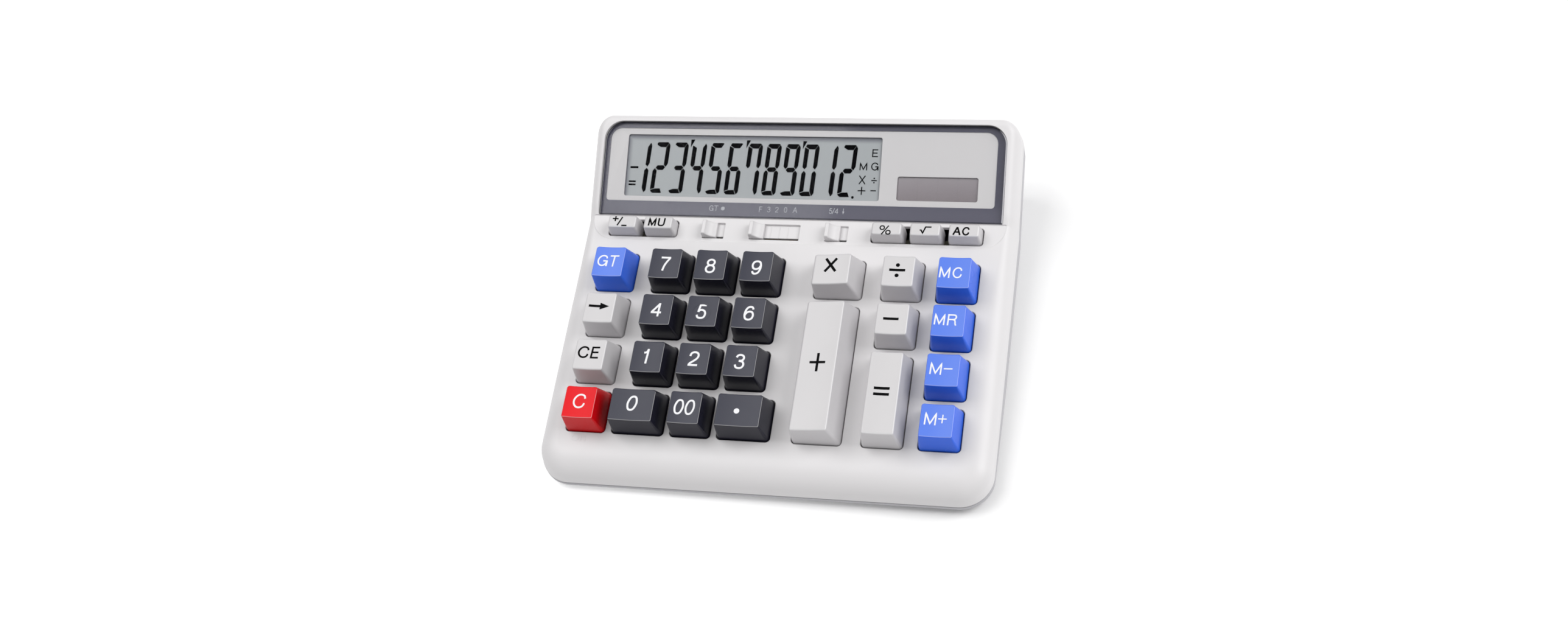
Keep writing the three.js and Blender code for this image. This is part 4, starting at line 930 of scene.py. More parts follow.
# top case: shell, display deck, bosses, then the openings, most of them with a softened edge
def makeTopCase():
    outer = caseBlock(0, 0, lambda y: seamZ(y) + caseShape["partingGap"], caseShape["edgeRound"])
    margin = displayShape["deckMargin"]
    deck = block(lensLeft - margin, lensRight + margin, 0, lensBack + margin, deckBottom, overrun["far"],
                 displayFrame)
    shape(deck, copied(outer), "INTERSECT")
    shape(outer, caseBlock(wall, wall, lambda y: seamZ(y) - overrun["far"]))
    shape(outer, deck, "UNION")
    bottom = inside["standoffTop"] + seat
    posts = pegs(boardScrews, inside["bossRadius"], boardTop + seat, -wall / 2,
                 roundSides["stem"], plateFrame)
    for x, y in caseScrews:
        posts += pegs([(x, y)], inside["caseBoss"], bottom, faceZ(y) - inside["bossSink"],
                      roundSides["post"])
    shape(outer, gathered(posts), "UNION")
    shape(outer, gathered([keyHole(footprint(key), keyField) for key in keys if not key.get("small")]))
    recess = -caseShape["recessDepth"]
    side = halfWidth - caseShape["recessSide"]
    front = smallFront - caseShape["recessMargin"]
    shape(outer, flaredCutter(lambda by: roundedOutline(
        -side - by, side + by, front - by, plateLength + seat, caseShape["recessCorner"] + by,
        caseShape["recessBackCorner"], 12), recess, caseShape["recessFlare"], plateFrame))
    cutters = []
    for first, last in (("key_plus_minus", "key_mark_up"), ("key_percent", "key_all_clear")):
        left, right = footprint(keyByName[first]), footprint(keyByName[last])
        cutters.append(keyHole((left[0], right[1], left[2], left[3]), smallRow, recess))
    for slot in slots:
        bounds = slot["x"], slot["x"] + slot["width"], slotFront, slotBack
        cutters.append(opening(bounds, switches["slotCorner"], slotFloor, switches["slotFlare"], plateFrame,
                               recess, 5))
    shape(outer, gathered(cutters))
    shape(outer, gathered([block(slot["x"], slot["x"] + slot["width"], slotFront, slitBack,
                                 -wall - overrun["near"], 0, plateFrame) for slot in slots]))
    shape(outer, flaredCutter(lambda by: lensOutline(-displayShape["lensGap"] - by), pocketFloor,
                              displayShape["pocketFlare"], displayFrame, rimAt))
    for bounds, border, low in (
            ((lcdLeft, lcdRight, lcdFront, lcdBack), "lcdBorder", deckBottom - overrun["far"]),
            ((solarLeft, solarRight, solarFront, solarBack), "solarBorder",
             pocketFloor - displayShape["solarThickness"] - seat)):
        shape(outer, block(*grown(bounds, displayShape[border] + seat), low, 0, displayFrame))
    drills = pegs([((solarLeft + solarRight) / 2, (solarFront + solarBack) / 2)], displayShape["leadHole"],
                  deckBottom - overrun["near"], 0, roundSides["screw"], displayFrame)
    drills += pegs(caseScrews, screwHole, bottom - seat, bottom + inside["pilotDepth"],
                   roundSides["screw"])
    drills += pegs(boardScrews, screwHole, boardTop, boardTop + inside["boardPilot"],
                   roundSides["screw"], plateFrame)
    shape(outer, gathered(drills))
    outer.name = "topCase"
    return dress(outer, finishes["case"], "case", ["top_case"])


topCase = makeTopCase()
print("top case:", len(topCase.data.polygons), "faces")

# shape of the caps: how far each side of the top is set in, its dish, and how far it leans
capSides = {
    "plain": {"left": 1.55, "right": 1.55, "front": 0.7, "back": 2.9, "dish": 0.5, "lean": 0},
    "leaning": {"left": 0.8, "right": 3.2, "front": 0.7, "back": 2.9, "dish": 0.35, "lean": 2.4},
    "small": {"left": 0.7, "right": 0.7, "front": 0.6, "back": 0.9, "dish": 0.2, "lean": 0},
}
capShape = {
    "edgeRound": {"dark": 0.42, "light": 0.85, "small": 0.9}, "baseCorner": 1.4, "frontCorner": 0.55,
    "backCorner": 1.1, "lightCornerExtra": 0.3, "frontCornerShare": 0.4, "backCornerShare": 0.6,
    "roundSteps": 5, "sideSteps": 8, "cornerSteps": 5,
}


def capTop(key):
    small = key.get("small")
    sides = capSides["small" if small else "leaning" if key.get("lean") else "plain"]
    left, right, front, back = (sides[side] for side in ("left", "right", "front", "back"))
    halfX, halfY = key["width"] / 2, key["depth"] / 2
    edge = "small" if small else "light" if key["colour"] == "function" else "dark"
    return {
        "box": (left - halfX, halfX - right, front - halfY, halfY - back),
        "tilt": sides["lean"] / key["width"], "height": (smallRow if small else keyField)["height"],
        "round": capShape["edgeRound"][edge], "light": edge != "dark", "dish": sides["dish"],
    }


def capHeight(top, x):
    x0, x1 = top["box"][:2]
    share = min(abs((x - (x0 + x1) / 2) / ((x1 - x0) / 2)), 1)
    return top["height"] + top["tilt"] * x - top["dish"] * (1 - share * share)


def makeCap(key):
    top = capTop(key)
    halfX, halfY = key["width"] / 2, key["depth"] / 2
    foot = (-halfX, halfX, -halfY, halfY)
    tall = 2 if key["depth"] > 2 * key["width"] else 1
    steps = {"cornerSteps": capShape["cornerSteps"], "sideSteps": capShape["sideSteps"] * tall}
    frontCorner = capShape["frontCorner"] + (capShape["lightCornerExtra"] if top["light"] else 0)
    base = roundedOutline(*foot, capShape["baseCorner"], **steps)
    rings = [atHeight(base, flangeBottom), atHeight(base, 0)]
    for across, up in quarter(capShape["roundSteps"]):
        inset = top["round"] * across
        front = frontCorner - capShape["frontCornerShare"] * inset
        back = capShape["backCorner"] - capShape["backCornerShare"] * inset
        outline = roundedOutline(*grown(top["box"], -inset), front, back, **steps)
        rings.append([(x, y, capHeight(top, x) - top["round"] * up) for x, y in outline])
    cap = ringLoft("cap", rings, mirror=2 * steps["cornerSteps"] + steps["sideSteps"])
    over = inside["flangeOverhang"]
    wingX, wingY = halfX + over, inside["flangeLength"] / 2
    if key.get("small"):
        wingX, wingY = inside["smallFlangeLength"] / 2, halfY + over
    shape(cap, block(-wingX, wingX, -wingY, wingY, flangeBottom, flangeTop), "UNION")
    below, roof = corners(*grown(foot, -inside["capWall"])), top["height"] - inside["capRoof"]
    above = corners(*grown(top["box"], -inside["capWall"]))
    shape(cap, ringLoft("hollow", [atHeight(below, flangeBottom - overrun["far"]), atHeight(below, 0),
                                   [(x, y, roof + top["tilt"] * x) for x, y in above]]))
    radius = inside["smallStemRadius" if key.get("small") else "stemRadius"]
    stemTop = top["height"] - inside["capRoof"] / 2 - inside["stemSink"]
    shape(cap, gathered(pegs([(0, y) for y in key.get("stems", (0,))], radius, -inside["stemDepth"],
                             stemTop, roundSides["stem"])), "UNION")
    cap.data.transform(Matrix.Scale(mm, 4) @ plateFrame @ Matrix.Translation((key["x"], key["y"], 0))
                       @ Matrix.Scale(1 / mm, 4))
    cap.name = key["name"].replace("key_", "cap_")
    return dress(cap, finishes[key["colour"]], key["name"], [key["name"]], angle=30)


caps = [makeCap(key) for key in keys]
print("key caps:", len(caps))

# the strokes of each sign, as points across and up in hundredths of its box
strokes = {
    "0": [("loop", (50, 100), (17, 89), (0, 50), (17, 11), (50, 0), (83, 11), (100, 50), (83, 89))],
    "1": [("line", (80, 106), (80, -7)), ("curve", (-5, 76), (40, 79), (68, 90), (78, 104))],
    "2": [("curve", (2, 68), (13, 91), (48, 100), (86, 92), (98, 71), (84, 50), (50, 31), (16, 14),
           (3, 0)), ("line", (-6, 0), (106, 0))],
    "3": [("curve", (3, 80), (17, 95), (48, 100), (80, 93), (92, 77), (78, 60), (36, 54.5)), ("curve",
           (36, 54.5), (82, 48), (100, 27), (85, 6), (50, 0), (15, 6), (0, 25))],
    "4": [("line", (76, -7), (76, 102)), ("line", (76, 97), (2, 28)), ("line", (-6, 26), (108, 26))],
    "5": [("line", (18, 100), (97, 100)), ("line", (24, 103), (10, 46)), ("curve", (10, 48), (30, 61),
           (56, 63), (87, 53), (100, 31), (87, 7), (50, 0), (15, 5), (0, 23))],
    "6": [("curve", (93, 80), (80, 96), (52, 100), (22, 90), (4, 64), (1, 34), (15, 8), (50, 0), (86, 8),
           (100, 32), (86, 56), (54, 63), (20, 54), (3, 34))],
    "7": [("line", (-6, 100), (105, 100)), ("curve", (100, 99), (70, 68), (48, 35), (36, -7))],
    "8": [("loop", (50, 100), (19, 93), (8, 77), (20, 61), (50, 55), (80, 61), (92, 77), (81, 93)),
          ("loop", (50, 55), (14, 47), (0, 27), (14, 7), (50, 0), (86, 7), (100, 27), (86, 47))],
    "A": [("line", (-2, -7), (50, 105)), ("line", (50, 105), (102, -7)), ("line", (17, 34), (83, 34))],
    "C": [("curve", (97, 70), (86, 91), (60, 100), (32, 96), (10, 77), (1, 50), (10, 22), (32, 4),
           (60, 0), (87, 10), (99, 34))],
    "E": [("line", (0, 108), (0, -8)), ("line", (0, 100), (105, 100)), ("line", (0, 52), (96, 52)),
          ("line", (0, 0), (108, 0))],
    "F": [("line", (0, 108), (0, -8)), ("line", (0, 100), (105, 100)), ("line", (0, 52), (90, 52))],
    "G": [("curve", (93, 73), (82, 92), (56, 100), (29, 95), (9, 77), (1, 50), (10, 20), (32, 3), (58, 0),
           (82, 12), (95, 36)), ("line", (56, 47), (106, 47)), ("line", (100, 47), (100, -6))],
    "M": [("line", (2, -8), (2, 100), (50, 4), (98, 100), (98, -8))],
    "N": [("line", (0, -8), (0, 98), (100, 2), (100, 108))],
    "O": [("loop", (50, 100), (15, 87), (0, 50), (15, 13), (50, 0), (85, 13), (100, 50), (85, 87))],
    "R": [("line", (0, -8), (0, 108)), ("line", (0, 100), (60, 100)), ("curve", (58, 100), (85, 95),
           (95, 77), (85, 59), (58, 53)), ("line", (60, 53), (0, 53)), ("curve", (50, 53), (78, 46),
           (88, 28), (91, 8), (102, -8))],
    "T": [("line", (-8, 100), (108, 100)), ("line", (50, 100), (50, -8))],
    "U": [("line", (0, 108), (0, 36)), ("curve", (0, 38), (3, 18), (20, 3), (50, 0), (80, 3), (97, 18),
           (100, 38)), ("line", (100, 36), (100, 108))],
    "X": [("line", (0, 105), (100, -5)), ("line", (0, -5), (100, 105))],
    "plus": [("line", (-8, 50), (108, 50)), ("line", (50, 108), (50, -8))],
    "minus": [("line", (-10, 50), (110, 50))],
    "slash": [("line", (0, -5), (100, 105))],
    "root": [("line", (0, 46), (12, 50), (30, 2), (52, 100), (106, 100))],
    "percent": [("line", (18, -4), (80, 104)), ("loop", (20, 100), (5, 94), (0, 77), (5, 60), (20, 54),
                 (35, 60), (40, 77), (35, 94)), ("loop", (80, 46), (65, 40), (60, 23), (65, 6), (80, 0),
                 (95, 6), (100, 23), (95, 40))],
    "arrowHead": [("fill", (0, 0), (100, 50), (0, 100))],
    "downHead": [("fill", (50, 0), (100, 100), (0, 100))],
}


def circle(count):
    turns = [2 * math.pi * i / count for i in range(count)]
    return [(0.5 + 0.5 * math.cos(turn), 0.5 + 0.5 * math.sin(turn)) for turn in turns]


signs = {name: [(kind, [(x / 100, y / 100) for x, y in line]) for kind, *line in parts]
         for name, parts in strokes.items()}
signs["9"] = [(kind, [(1 - x, 1 - y) for x, y in line]) for kind, line in signs["6"]]
signs["dot"] = [("fill", circle(24))]
signs["ring"] = [("loop", circle(16))]
# printed signs: height over the surface and depth below it, then strokes and heights of the finer prints
ink = {
    "lift": 0.03, "sink": 0.06, "layer": 0.002, "longest": 0.9, "sharpest": 0.55, "thin": 0.01,
    "ringStroke": 0.32, "ringLift": 0.07, "markStroke": 0.42, "markLift": 0.1, "borderStroke": 0.24,
    "borderLift": 0.02, "borderSlant": 3, "figureStroke": 0.4, "figureLift": 0.07,
}


def curved(line, closed, steps=6):
    points = [Vector(point) for point in line]
    count = len(points)
    smooth = []
    for i in range(count if closed else count - 1):
        if closed:
            a, b, c, d = (points[(i + k) % count] for k in (-1, 0, 1, 2))
        else:
            a, b, c, d = points[max(i - 1, 0)], points[i], points[i + 1], points[min(i + 2, count - 1)]
        for step in range(steps):
            t = step / steps
            smooth.append(0.5 * (2 * b + (c - a) * t + (2 * a - 5 * b + 4 * c - d) * t ** 2
                                 + (3 * b - 3 * c + d - a) * t ** 3))
    if not closed:
        smooth.append(points[-1])
    return [tuple(point) for point in smooth]


def divided(line, longest, closed=False):
    spots = []
    ends = line[1:] + line[:1] if closed else line[1:]
    for start, end in zip(line, ends):
        parts = max(1, math.ceil(math.dist(start, end) / longest))
        spots += [tuple(Vector(start).lerp(Vector(end), part / parts)) for part in range(parts)]
    return spots if closed else spots + [line[-1]]


def fitted(low, high, pad, share):
    # a share of the way from low to high, with room for half a stroke at both ends
    room = max(high - low - 2 * pad, 0)
    return (low + pad if room else (low + high) / 2) + share * room


def printSigns(name, entries, width, heightAt, material, body, place, lift=ink["lift"],
               sink=ink["sink"], slant=0):
    # an entry is a sign, its outside box x0, y0, x1, y1 in millimetres, and perhaps its own stroke width
    points, faces = [], []
    lean = math.tan(math.radians(slant))
    layer = 0

    def addFill(outline, rise):
        if sum(a[0] * b[1] - b[0] * a[1] for a, b in zip(outline, outline[1:] + outline[:1])) < 0:
            outline.reverse()
        start, count = len(points), len(outline)
        points.extend((x, y, heightAt(x, y) + rise) for x, y in outline)
        points.extend((x, y, heightAt(x, y) - sink) for x, y in outline)
        faces.append(tuple(range(start, start + count)))
        faces.append(tuple(range(start + 2 * count - 1, start + count - 1, -1)))
        for i in range(count):
            j = (i + 1) % count
            faces.append((start + count + i, start + count + j, start + j, start + i))

    def addStroke(line, stroke, closed, rise):
        start, count = len(points), len(line)
        spots = np.array(line)
        ahead = np.roll(spots, -1, 0) - spots
        behind = spots - np.roll(spots, 1, 0)
        if not closed:
            ahead[-1], behind[0] = behind[-1], ahead[0]
        ahead /= np.linalg.norm(ahead, axis=1)[:, None]
        behind /= np.linalg.norm(behind, axis=1)[:, None]
        square = np.stack([-ahead[:, 1], ahead[:, 0]], 1)
        mean = square + np.stack([-behind[:, 1], behind[:, 0]], 1)
        mean /= np.linalg.norm(mean, axis=1)[:, None]
        reach = 1 / np.clip((mean * square).sum(1), ink["sharpest"], 1)
        offset = mean * reach[:, None] * stroke / 2
        for pair in zip(spots + offset, spots - offset):
            points.extend((x, y, heightAt(x, y) + rise) for x, y in pair)
            points.extend((x, y, heightAt(x, y) - sink) for x, y in pair)
        for i in range(count if closed else count - 1):
            a, b = start + 4 * i, start + 4 * ((i + 1) % count)
            faces.extend([(a + 1, b + 1, b, a), (a + 2, b + 2, b + 3, a + 3),
                          (a, b, b + 2, a + 2), (a + 3, b + 3, b + 1, a + 1)])
        if not closed:
            a, b = start, start + 4 * (count - 1)
            faces.extend([(a, a + 2, a + 3, a + 1), (b + 1, b + 3, b + 2, b)])

    for sign, x0, y0, x1, y1, *own in entries:
        stroke = own[0] if own else width
        for kind, line in signs[sign]:
            layer += 1
            rise = lift + ink["layer"] * (layer % 4)
            pad = 0 if kind == "fill" else stroke / 2
            line = [(fitted(x0, x1, pad, u), fitted(y0, y1, pad, v)) for u, v in line]
            if kind in ("curve", "loop"):
                line = curved(line, kind == "loop")
            else:
                line = divided(line, ink["longest"], kind == "fill")
            line = [(x + lean * (y - (y0 + y1) / 2), y) for x, y in line]
            if kind == "fill":
                addFill(line, rise)
            else:
                addStroke(line, stroke, kind == "loop", rise)
    return dress(buildMesh(name, points, faces, place), material, body, angle=40, even=False)


# the legend of each key: stroke width, slant in degrees, then its signs on the key plate
legends = {
    "7": (0.81, 3, ("7", -49.6, 83.85, -45.25, 90.2)),
    "8": (0.81, 2, ("8", -30.35, 83.45, -26.15, 89.95)),
    "9": (0.81, 2, ("9", -11.35, 83.45, -7.1, 89.85)),
    "4": (0.81, 3, ("4", -49.5, 63.3, -44.95, 69.5)),
    "5": (0.81, 3, ("5", -30.6, 63, -26.45, 69.45)),
    "6": (0.81, 2, ("6", -11.2, 63.1, -6.95, 69.5)),
    "1": (0.81, 4, ("1", -49.2, 42.6, -46.6, 49)),
    "2": (0.81, 3, ("2", -30.3, 42.5, -26.05, 48.85)),
    "3": (0.81, 3, ("3", -11.6, 42.1, -7.45, 48.55)),
    "0": (0.81, 7, ("0", -51.9, 22.2, -47.6, 28.7)),
    "00": (0.76, 5, ("0", -32.6, 21.75, -28.7, 28.2), ("0", -28.2, 21.75, -24.2, 28.2)),
    "point": (0.8, 0, ("dot", -8.6, 23.4, -6.4, 25.6)),
    "grand_total": (0.62, 4, ("G", -76.15, 85, -71.75, 90.1), ("T", -71.2, 85, -67.35, 90.1)),
    "backspace": (1.05, 0, ("minus", -75.9, 66.35, -70.8, 67.4), ("arrowHead", -71.1, 65.4, -67.2, 68.4)),
    "clear_entry": (0.74, 3, ("C", -76.2, 43.7, -71.6, 48.9), ("E", -70.75, 43.7, -67.2, 48.9)),
    "clear": (0.72, 4, ("C", -74.05, 22.15, -68.8, 28.3)),
    "multiply": (1.05, 0, ("X", 17.95, 85.75, 23.45, 92.05)),
    "divide": (1.08, 0, ("minus", 44.25, 87, 50.6, 88.1), ("dot", 46.65, 88.95, 48.25, 90.55),
               ("dot", 46.65, 84.4, 48.25, 86)),
    "minus": (1.05, 0, ("minus", 44.45, 65.75, 50.5, 66.85)),
    "plus": (1, 0, ("plus", 17.95, 42.7, 24.4, 50.4)),
    "equals": (1.1, 0, ("minus", 44.45, 36.35, 50.6, 37.5), ("minus", 44.45, 33.9, 50.6, 35.05)),
    "memory_clear": (0.56, 2, ("M", 64.1, 84.85, 68.3, 89.6), ("C", 69.2, 84.85, 73, 89.6)),
    "memory_recall": (0.56, 2, ("M", 64.3, 64.5, 68.5, 69.2), ("R", 69.4, 64.5, 73.1, 69.2)),
    "memory_minus": (0.56, 2, ("M", 64.9, 43.7, 69.5, 48.6), ("minus", 70.2, 45.95, 73.5, 46.45, 0.5)),
    "memory_plus": (0.56, 2, ("M", 65.1, 23, 69.7, 28), ("plus", 70.3, 23.9, 73.5, 27.3, 0.45)),
    "plus_minus": (0.58, 0, ("plus", -76.15, 109.3, -73.4, 111.9), ("slash", -73.9, 107.4, -71.6, 111.6),
                   ("minus", -71.9, 107.3, -69.4, 107.8)),
    "mark_up": (0.64, 2, ("M", -60.3, 107.65, -56.9, 111.5), ("U", -56.2, 107.65, -53.15, 111.5)),
    "percent": (0.48, 0, ("percent", 36.7, 106.6, 41.4, 110.8)),
    "root": (0.55, 0, ("root", 52.7, 107.4, 57.6, 110.8)),
    "all_clear": (0.64, 2, ("A", 66.3, 107.2, 69.5, 111), ("C", 69.9, 107.2, 72.95, 111)),
}

for name, (stroke, slant, *entries) in legends.items():
    key = keyByName["key_" + name]
    top = capTop(key)
    colour = finishes["blackInk" if key["colour"] == "function" else "whiteInk"]
    printSigns("legend_" + name, entries, stroke, lambda x, y: capHeight(top, x - key["x"]), colour,
               key["name"], plateFrame, slant=slant)

fiveTop = capTop(keyByName["key_5"])
printSigns("homing_ring_5", [("ring", -32.35, 62.05, -24.65, 69.75)], ink["ringStroke"],
           lambda x, y: capHeight(fiveTop, x - columnX["second"]), finishes["figure"], "key_5", plateFrame,
           lift=ink["ringLift"])
printSigns("power_mark", [("O", -76.25, 13.05, -73.1, 15.9), ("N", -72.5, 13.05, -70.25, 15.9)],
           ink["markStroke"], lambda x, y: 0, finishes["case"], "case", plateFrame,
           lift=ink["markLift"])
print("legends printed:", len(legends))


# knobs: a rounded finger ridge on the left that falls away in a hollow curve to the right
def knobProfile(lower):
    width, ridge, soft = switches["knobWidth"], switches["ridgeWidth"], switches["ridgeRound"]
    base = slotFloor + seat
    top = switches["knobHeight"] - caseShape["recessDepth"] - lower
    foot = switches["footHeight"] - caseShape["recessDepth"] - switches["footDropShare"] * lower
    outline = [(0, base), (width, base)]
    for step in range(11):
        t = step / 10
        outline.append((width + (ridge - width) * t, foot + (top - soft - foot) * t ** switches["hollow"]))
    for centre, start in ((ridge - soft, 0), (soft, 90)):
        for step in range(1, 6):
            angle = math.radians(start + 90 * step / 5)
            outline.append((centre + soft * math.cos(angle), top - soft + soft * math.sin(angle)))
    return outline


def makeKnob(slot):
    back = slotBack - switches["clearance"]
    front = back - switches["knobDepth"]
    left = slot["x"] + switches["clearance"]
    ends = switches["endRound"]
    lowered = [(s, ends * (1 - math.sqrt(1 - (1 - s) ** 2))) for s in switches["endShares"]]
    places = [(back - ends * s, lower) for s, lower in lowered]
    places += [(front + ends * s, lower) for s, lower in reversed(lowered)]
    knob = ringLoft(slot["name"] + "_grip", [[(x + left, y, z) for x, z in knobProfile(lower)]
                                             for y, lower in places], plateFrame)
    tabLeft = left + (switches["knobWidth"] - switches["tabWidth"]) / 2
    tabFront = slotFront + switches["clearance"]
    carrierTop = -wall - seat
    for depth, top in ((switches["tabThickness"], 0), (switches["carrierDepth"], carrierTop)):
        shape(knob, block(tabLeft, tabLeft + switches["tabWidth"], tabFront, tabFront + depth,
                          carrierTop - switches["carrierHeight"], top, plateFrame), "UNION")
    return dress(knob, finishes["knob"], slot["name"], [slot["name"] + "_knob"], angle=35)


for slot in slots:
    makeKnob(slot)

# fine ribs on the floor of the selector slot mark its steps
ribs = []
for i in range(1, switches["steps"]):
    middle = (slots[1]["x"] + switches["clearance"] + switches["knobWidth"] / 2
              + switches["step"] * (i + 0.5))
    ribs.append(block(middle - switches["ribWidth"] / 2, middle + switches["ribWidth"] / 2,
                      slitBack + switches["ribFront"], slotBack - switches["ribBack"],
                      slotFloor - switches["ribSink"], slotFloor + switches["ribHeight"], plateFrame))
ribs = gathered(ribs)
ribs.name = "selector_ribs"
dress(ribs, finishes["case"], "case", even=False)
print("switches ready")


# display: clear lens, printed border under it, silver panel with two windows
def makeLens():
    thick, bevel, soft = displayShape["lens"], displayShape["bevel"], displayShape["lensSoft"]
    levels = [(soft, -thick), (0, -thick + soft), (0, -bevel - soft), (soft * 0.3, -bevel + soft * 0.2),
              (bevel - soft * 0.8, -soft * 0.7), (bevel + soft, 0)]
    lens = ringLoft("lens", [atHeight(lensOutline(inset), z) for inset, z in levels], displayFrame)
    return dress(lens, finishes["lens"], "case", ["display_lens"], angle=25)


# how far the clear part of the printed border lies in from each side of the lens
film = {"left": 2, "right": 3.8, "front": 6.5, "back": 2.35, "frontCorner": 1.5, "backCorner": 4.8,
        "inset": 0.05}


def makeBorder():
    outer = lensOutline(film["inset"])
    inner = roundedOutline(lensLeft + film["left"], lensRight - film["right"], lensFront + film["front"],
                           lensBack - film["back"], film["frontCorner"], film["backCorner"],
                           displayShape["cornerSteps"])
    low, high = panelFace + displayShape["filmGap"], -displayShape["lens"] - displayShape["filmGap"]
    border = ringLoft("lens_border", [atHeight(outer, high), atHeight(inner, high), atHeight(inner, low),
                                      atHeight(outer, low)], displayFrame, closed=True)
    return dress(border, finishes["border"], "case", even=False)


# how far the edges of the panel's windows lie behind those of the glass and the cell
windowShift = {"lcdFront": 0.2, "lcdBack": 0.45, "solarFront": 0.4, "solarBack": 0.5}


def makePanel():
    outline = lensOutline(seat)
    panel = ringLoft("silver_panel", [atHeight(outline, panelFace - displayShape["panel"]),
                                      atHeight(outline, panelFace)], displayFrame)
    windows = ((lcdLeft, lcdRight, lcdFront + windowShift["lcdFront"], lcdBack + windowShift["lcdBack"]),
               (solarLeft, solarRight, solarFront + windowShift["solarFront"],
                solarBack + windowShift["solarBack"]))
    shape(panel, gathered([opening(bounds, displayShape["windowCorner"], panelFace - overrun["near"],
                                   displayShape["windowFlare"], displayFrame, panelFace)
                           for bounds in windows]))
    return dress(panel, finishes["panel"], "case", ["display_panel"])


makeLens()
makeBorder()
makePanel()

# the seven bars of one figure, in millimetres from its lower left corner, with the lean of the real glass
bars = {
    "top": [(1.58, 20.79), (3.15, 19.7), (5.61, 19.7), (6.82, 21.52), (6.42, 21.8), (2.12, 21.76)],
    "upperRight": [(6.91, 21.45), (5.67, 19.58), (5.18, 12.06), (6.03, 11.21), (6.91, 12.67), (7.42, 20.39)],
    "lowerRight": [(5.82, 10.64), (4.85, 9.64), (4.36, 2.06), (5.21, 0.09), (6.12, 1.15), (6.67, 9.64)],
    "bottom": [(0.06, 1.15), (0.36, 0.61), (1.12, 0.0), (4.97, 0.05), (4.24, 1.94), (1.88, 1.85)],
    "lowerLeft": [(1.45, 10.61), (0.52, 9.48), (0.0, 1.39), (1.79, 2.06), (2.27, 9.64)],
    "upperLeft": [(1.39, 20.55), (1.27, 20.39), (0.73, 12.21), (1.58, 11.24), (2.48, 12.21), (3.0, 19.58)],
    "middle": [(1.73, 10.85), (2.55, 9.88), (4.91, 9.88), (5.82, 11.0), (5.12, 11.88), (2.48, 11.82)],
}
lit = {
    "0": ("top", "upperRight", "lowerRight", "bottom", "lowerLeft", "upperLeft"),
    "1": ("upperRight", "lowerRight"),
    "2": ("top", "upperRight", "middle", "lowerLeft", "bottom"),
    "3": ("top", "upperRight", "middle", "lowerRight", "bottom"),
    "4": ("upperLeft", "upperRight", "middle", "lowerRight"),
    "5": ("top", "upperLeft", "middle", "lowerRight", "bottom"),
    "6": ("top", "upperLeft", "middle", "lowerRight", "bottom", "lowerLeft"),
    "7": ("top", "upperLeft", "upperRight", "lowerRight"),
    "8": ("top", "upperRight", "lowerRight", "bottom", "lowerLeft", "upperLeft", "middle"),
    "9": ("top", "upperRight", "lowerRight", "bottom", "upperLeft", "middle"),
}
readout = {"figures": "123456789012", "left": -72.15, "front": 10.6, "pitch": 8.03, "ticks": (3, 6, 9),
           "tickLeft": -47.7, "tick": [(0, 33.7), (-0.06, 30.3), (1.67, 33.7)]}
indicators = [
    ("dot", 22.2, 10, 23.2, 11.1), ("minus", -73.6, 21, -69.95, 21.85, 0.82),
    ("minus", -73.8, 15.05, -70.6, 15.7, 0.65), ("minus", -73.8, 13.65, -70.6, 14.4, 0.7),
    ("E", 29.7, 27.5, 32.15, 30.75), ("M", 24.8, 21.95, 28, 25.15), ("G", 29.6, 21.95, 32.65, 25.2),
    ("X", 24.8, 16.1, 27.7, 19.7), ("minus", 30.05, 17.55, 32.35, 17.9), ("dot", 30.9, 18.3, 31.5, 18.9),
    ("dot", 30.9, 16.55, 31.5, 17.15), ("plus", 24.7, 11.75, 27.85, 15),
    ("minus", 29.95, 13.3, 32.25, 13.65),
]


def makeReadout():
    # bars and ticks are drawn at full size, so their box is one millimetre
    entries = []
    for place, figure in enumerate(readout["figures"]):
        left = readout["left"] + readout["pitch"] * place
        for bar in lit[figure]:
            signs[f"bar{place}{bar}"] = [("fill", [(left + x, readout["front"] + y) for x, y in bars[bar]])]
            entries.append((f"bar{place}{bar}", 0, 0, 1, 1))
    for place in readout["ticks"]:
        left = readout["tickLeft"] + readout["pitch"] * (place - readout["ticks"][0])
        signs[f"tick{place}"] = [("fill", [(left + x, y) for x, y in readout["tick"]])]
        entries.append((f"tick{place}", 0, 0, 1, 1))
    printSigns("lcd_figures", entries + indicators, ink["figureStroke"], lambda x, y: pocketFloor,
               finishes["segment"], "case", displayFrame, lift=ink["figureLift"],
               sink=ink["thin"])


makeReadout()
borderMarks = [
    ("G", -37.3, 3.35, -35.5, 5.65), ("T", -35.2, 3.35, -33.5, 5.65), ("dot", -32.25, 3.65, -30.65, 5.25),
    ("F", -15.9, 3.35, -14.6, 5.65), ("3", -12.5, 3.35, -11.1, 5.65), ("2", -9.1, 3.35, -7.7, 5.65),
    ("0", -5.4, 3.35, -4, 5.65), ("A", -1.6, 3.35, 0.25, 5.65), ("5", 13.6, 3.35, 14.9, 5.65),
    ("slash", 14.9, 3.3, 15.9, 5.7), ("4", 15.95, 3.35, 17.45, 5.65), ("slash", 19.4, 4.1, 19.62, 5.7),
    ("downHead", 19.05, 3.2, 19.95, 4.4),
]
printSigns("border_marks", borderMarks, ink["borderStroke"],
           lambda x, y: -displayShape["lens"] - displayShape["filmGap"], finishes["greyInk"], "case",
           displayFrame, lift=ink["borderLift"], sink=ink["thin"], slant=ink["borderSlant"])
print("display ready")

# bottom case: tray with a skirt and leaning walls, tongue, standoffs, battery bay
tray = {"footHeight": 1.2, "edge": 3, "edgeSteps": 6}
battery = {
    "radius": 7.1, "length": 48.5, "nubLength": 1, "bayWall": 2.3, "bayBack": 10, "spring": 4.6,
    "contact": 0.4, "doorBorder": 1, "doorSlide": 6, "doorClearance": 0.3, "doorBackHeight": 6.5,
    "rail": 1.2, "railOverhang": 1.5, "leadHole": 3,
}
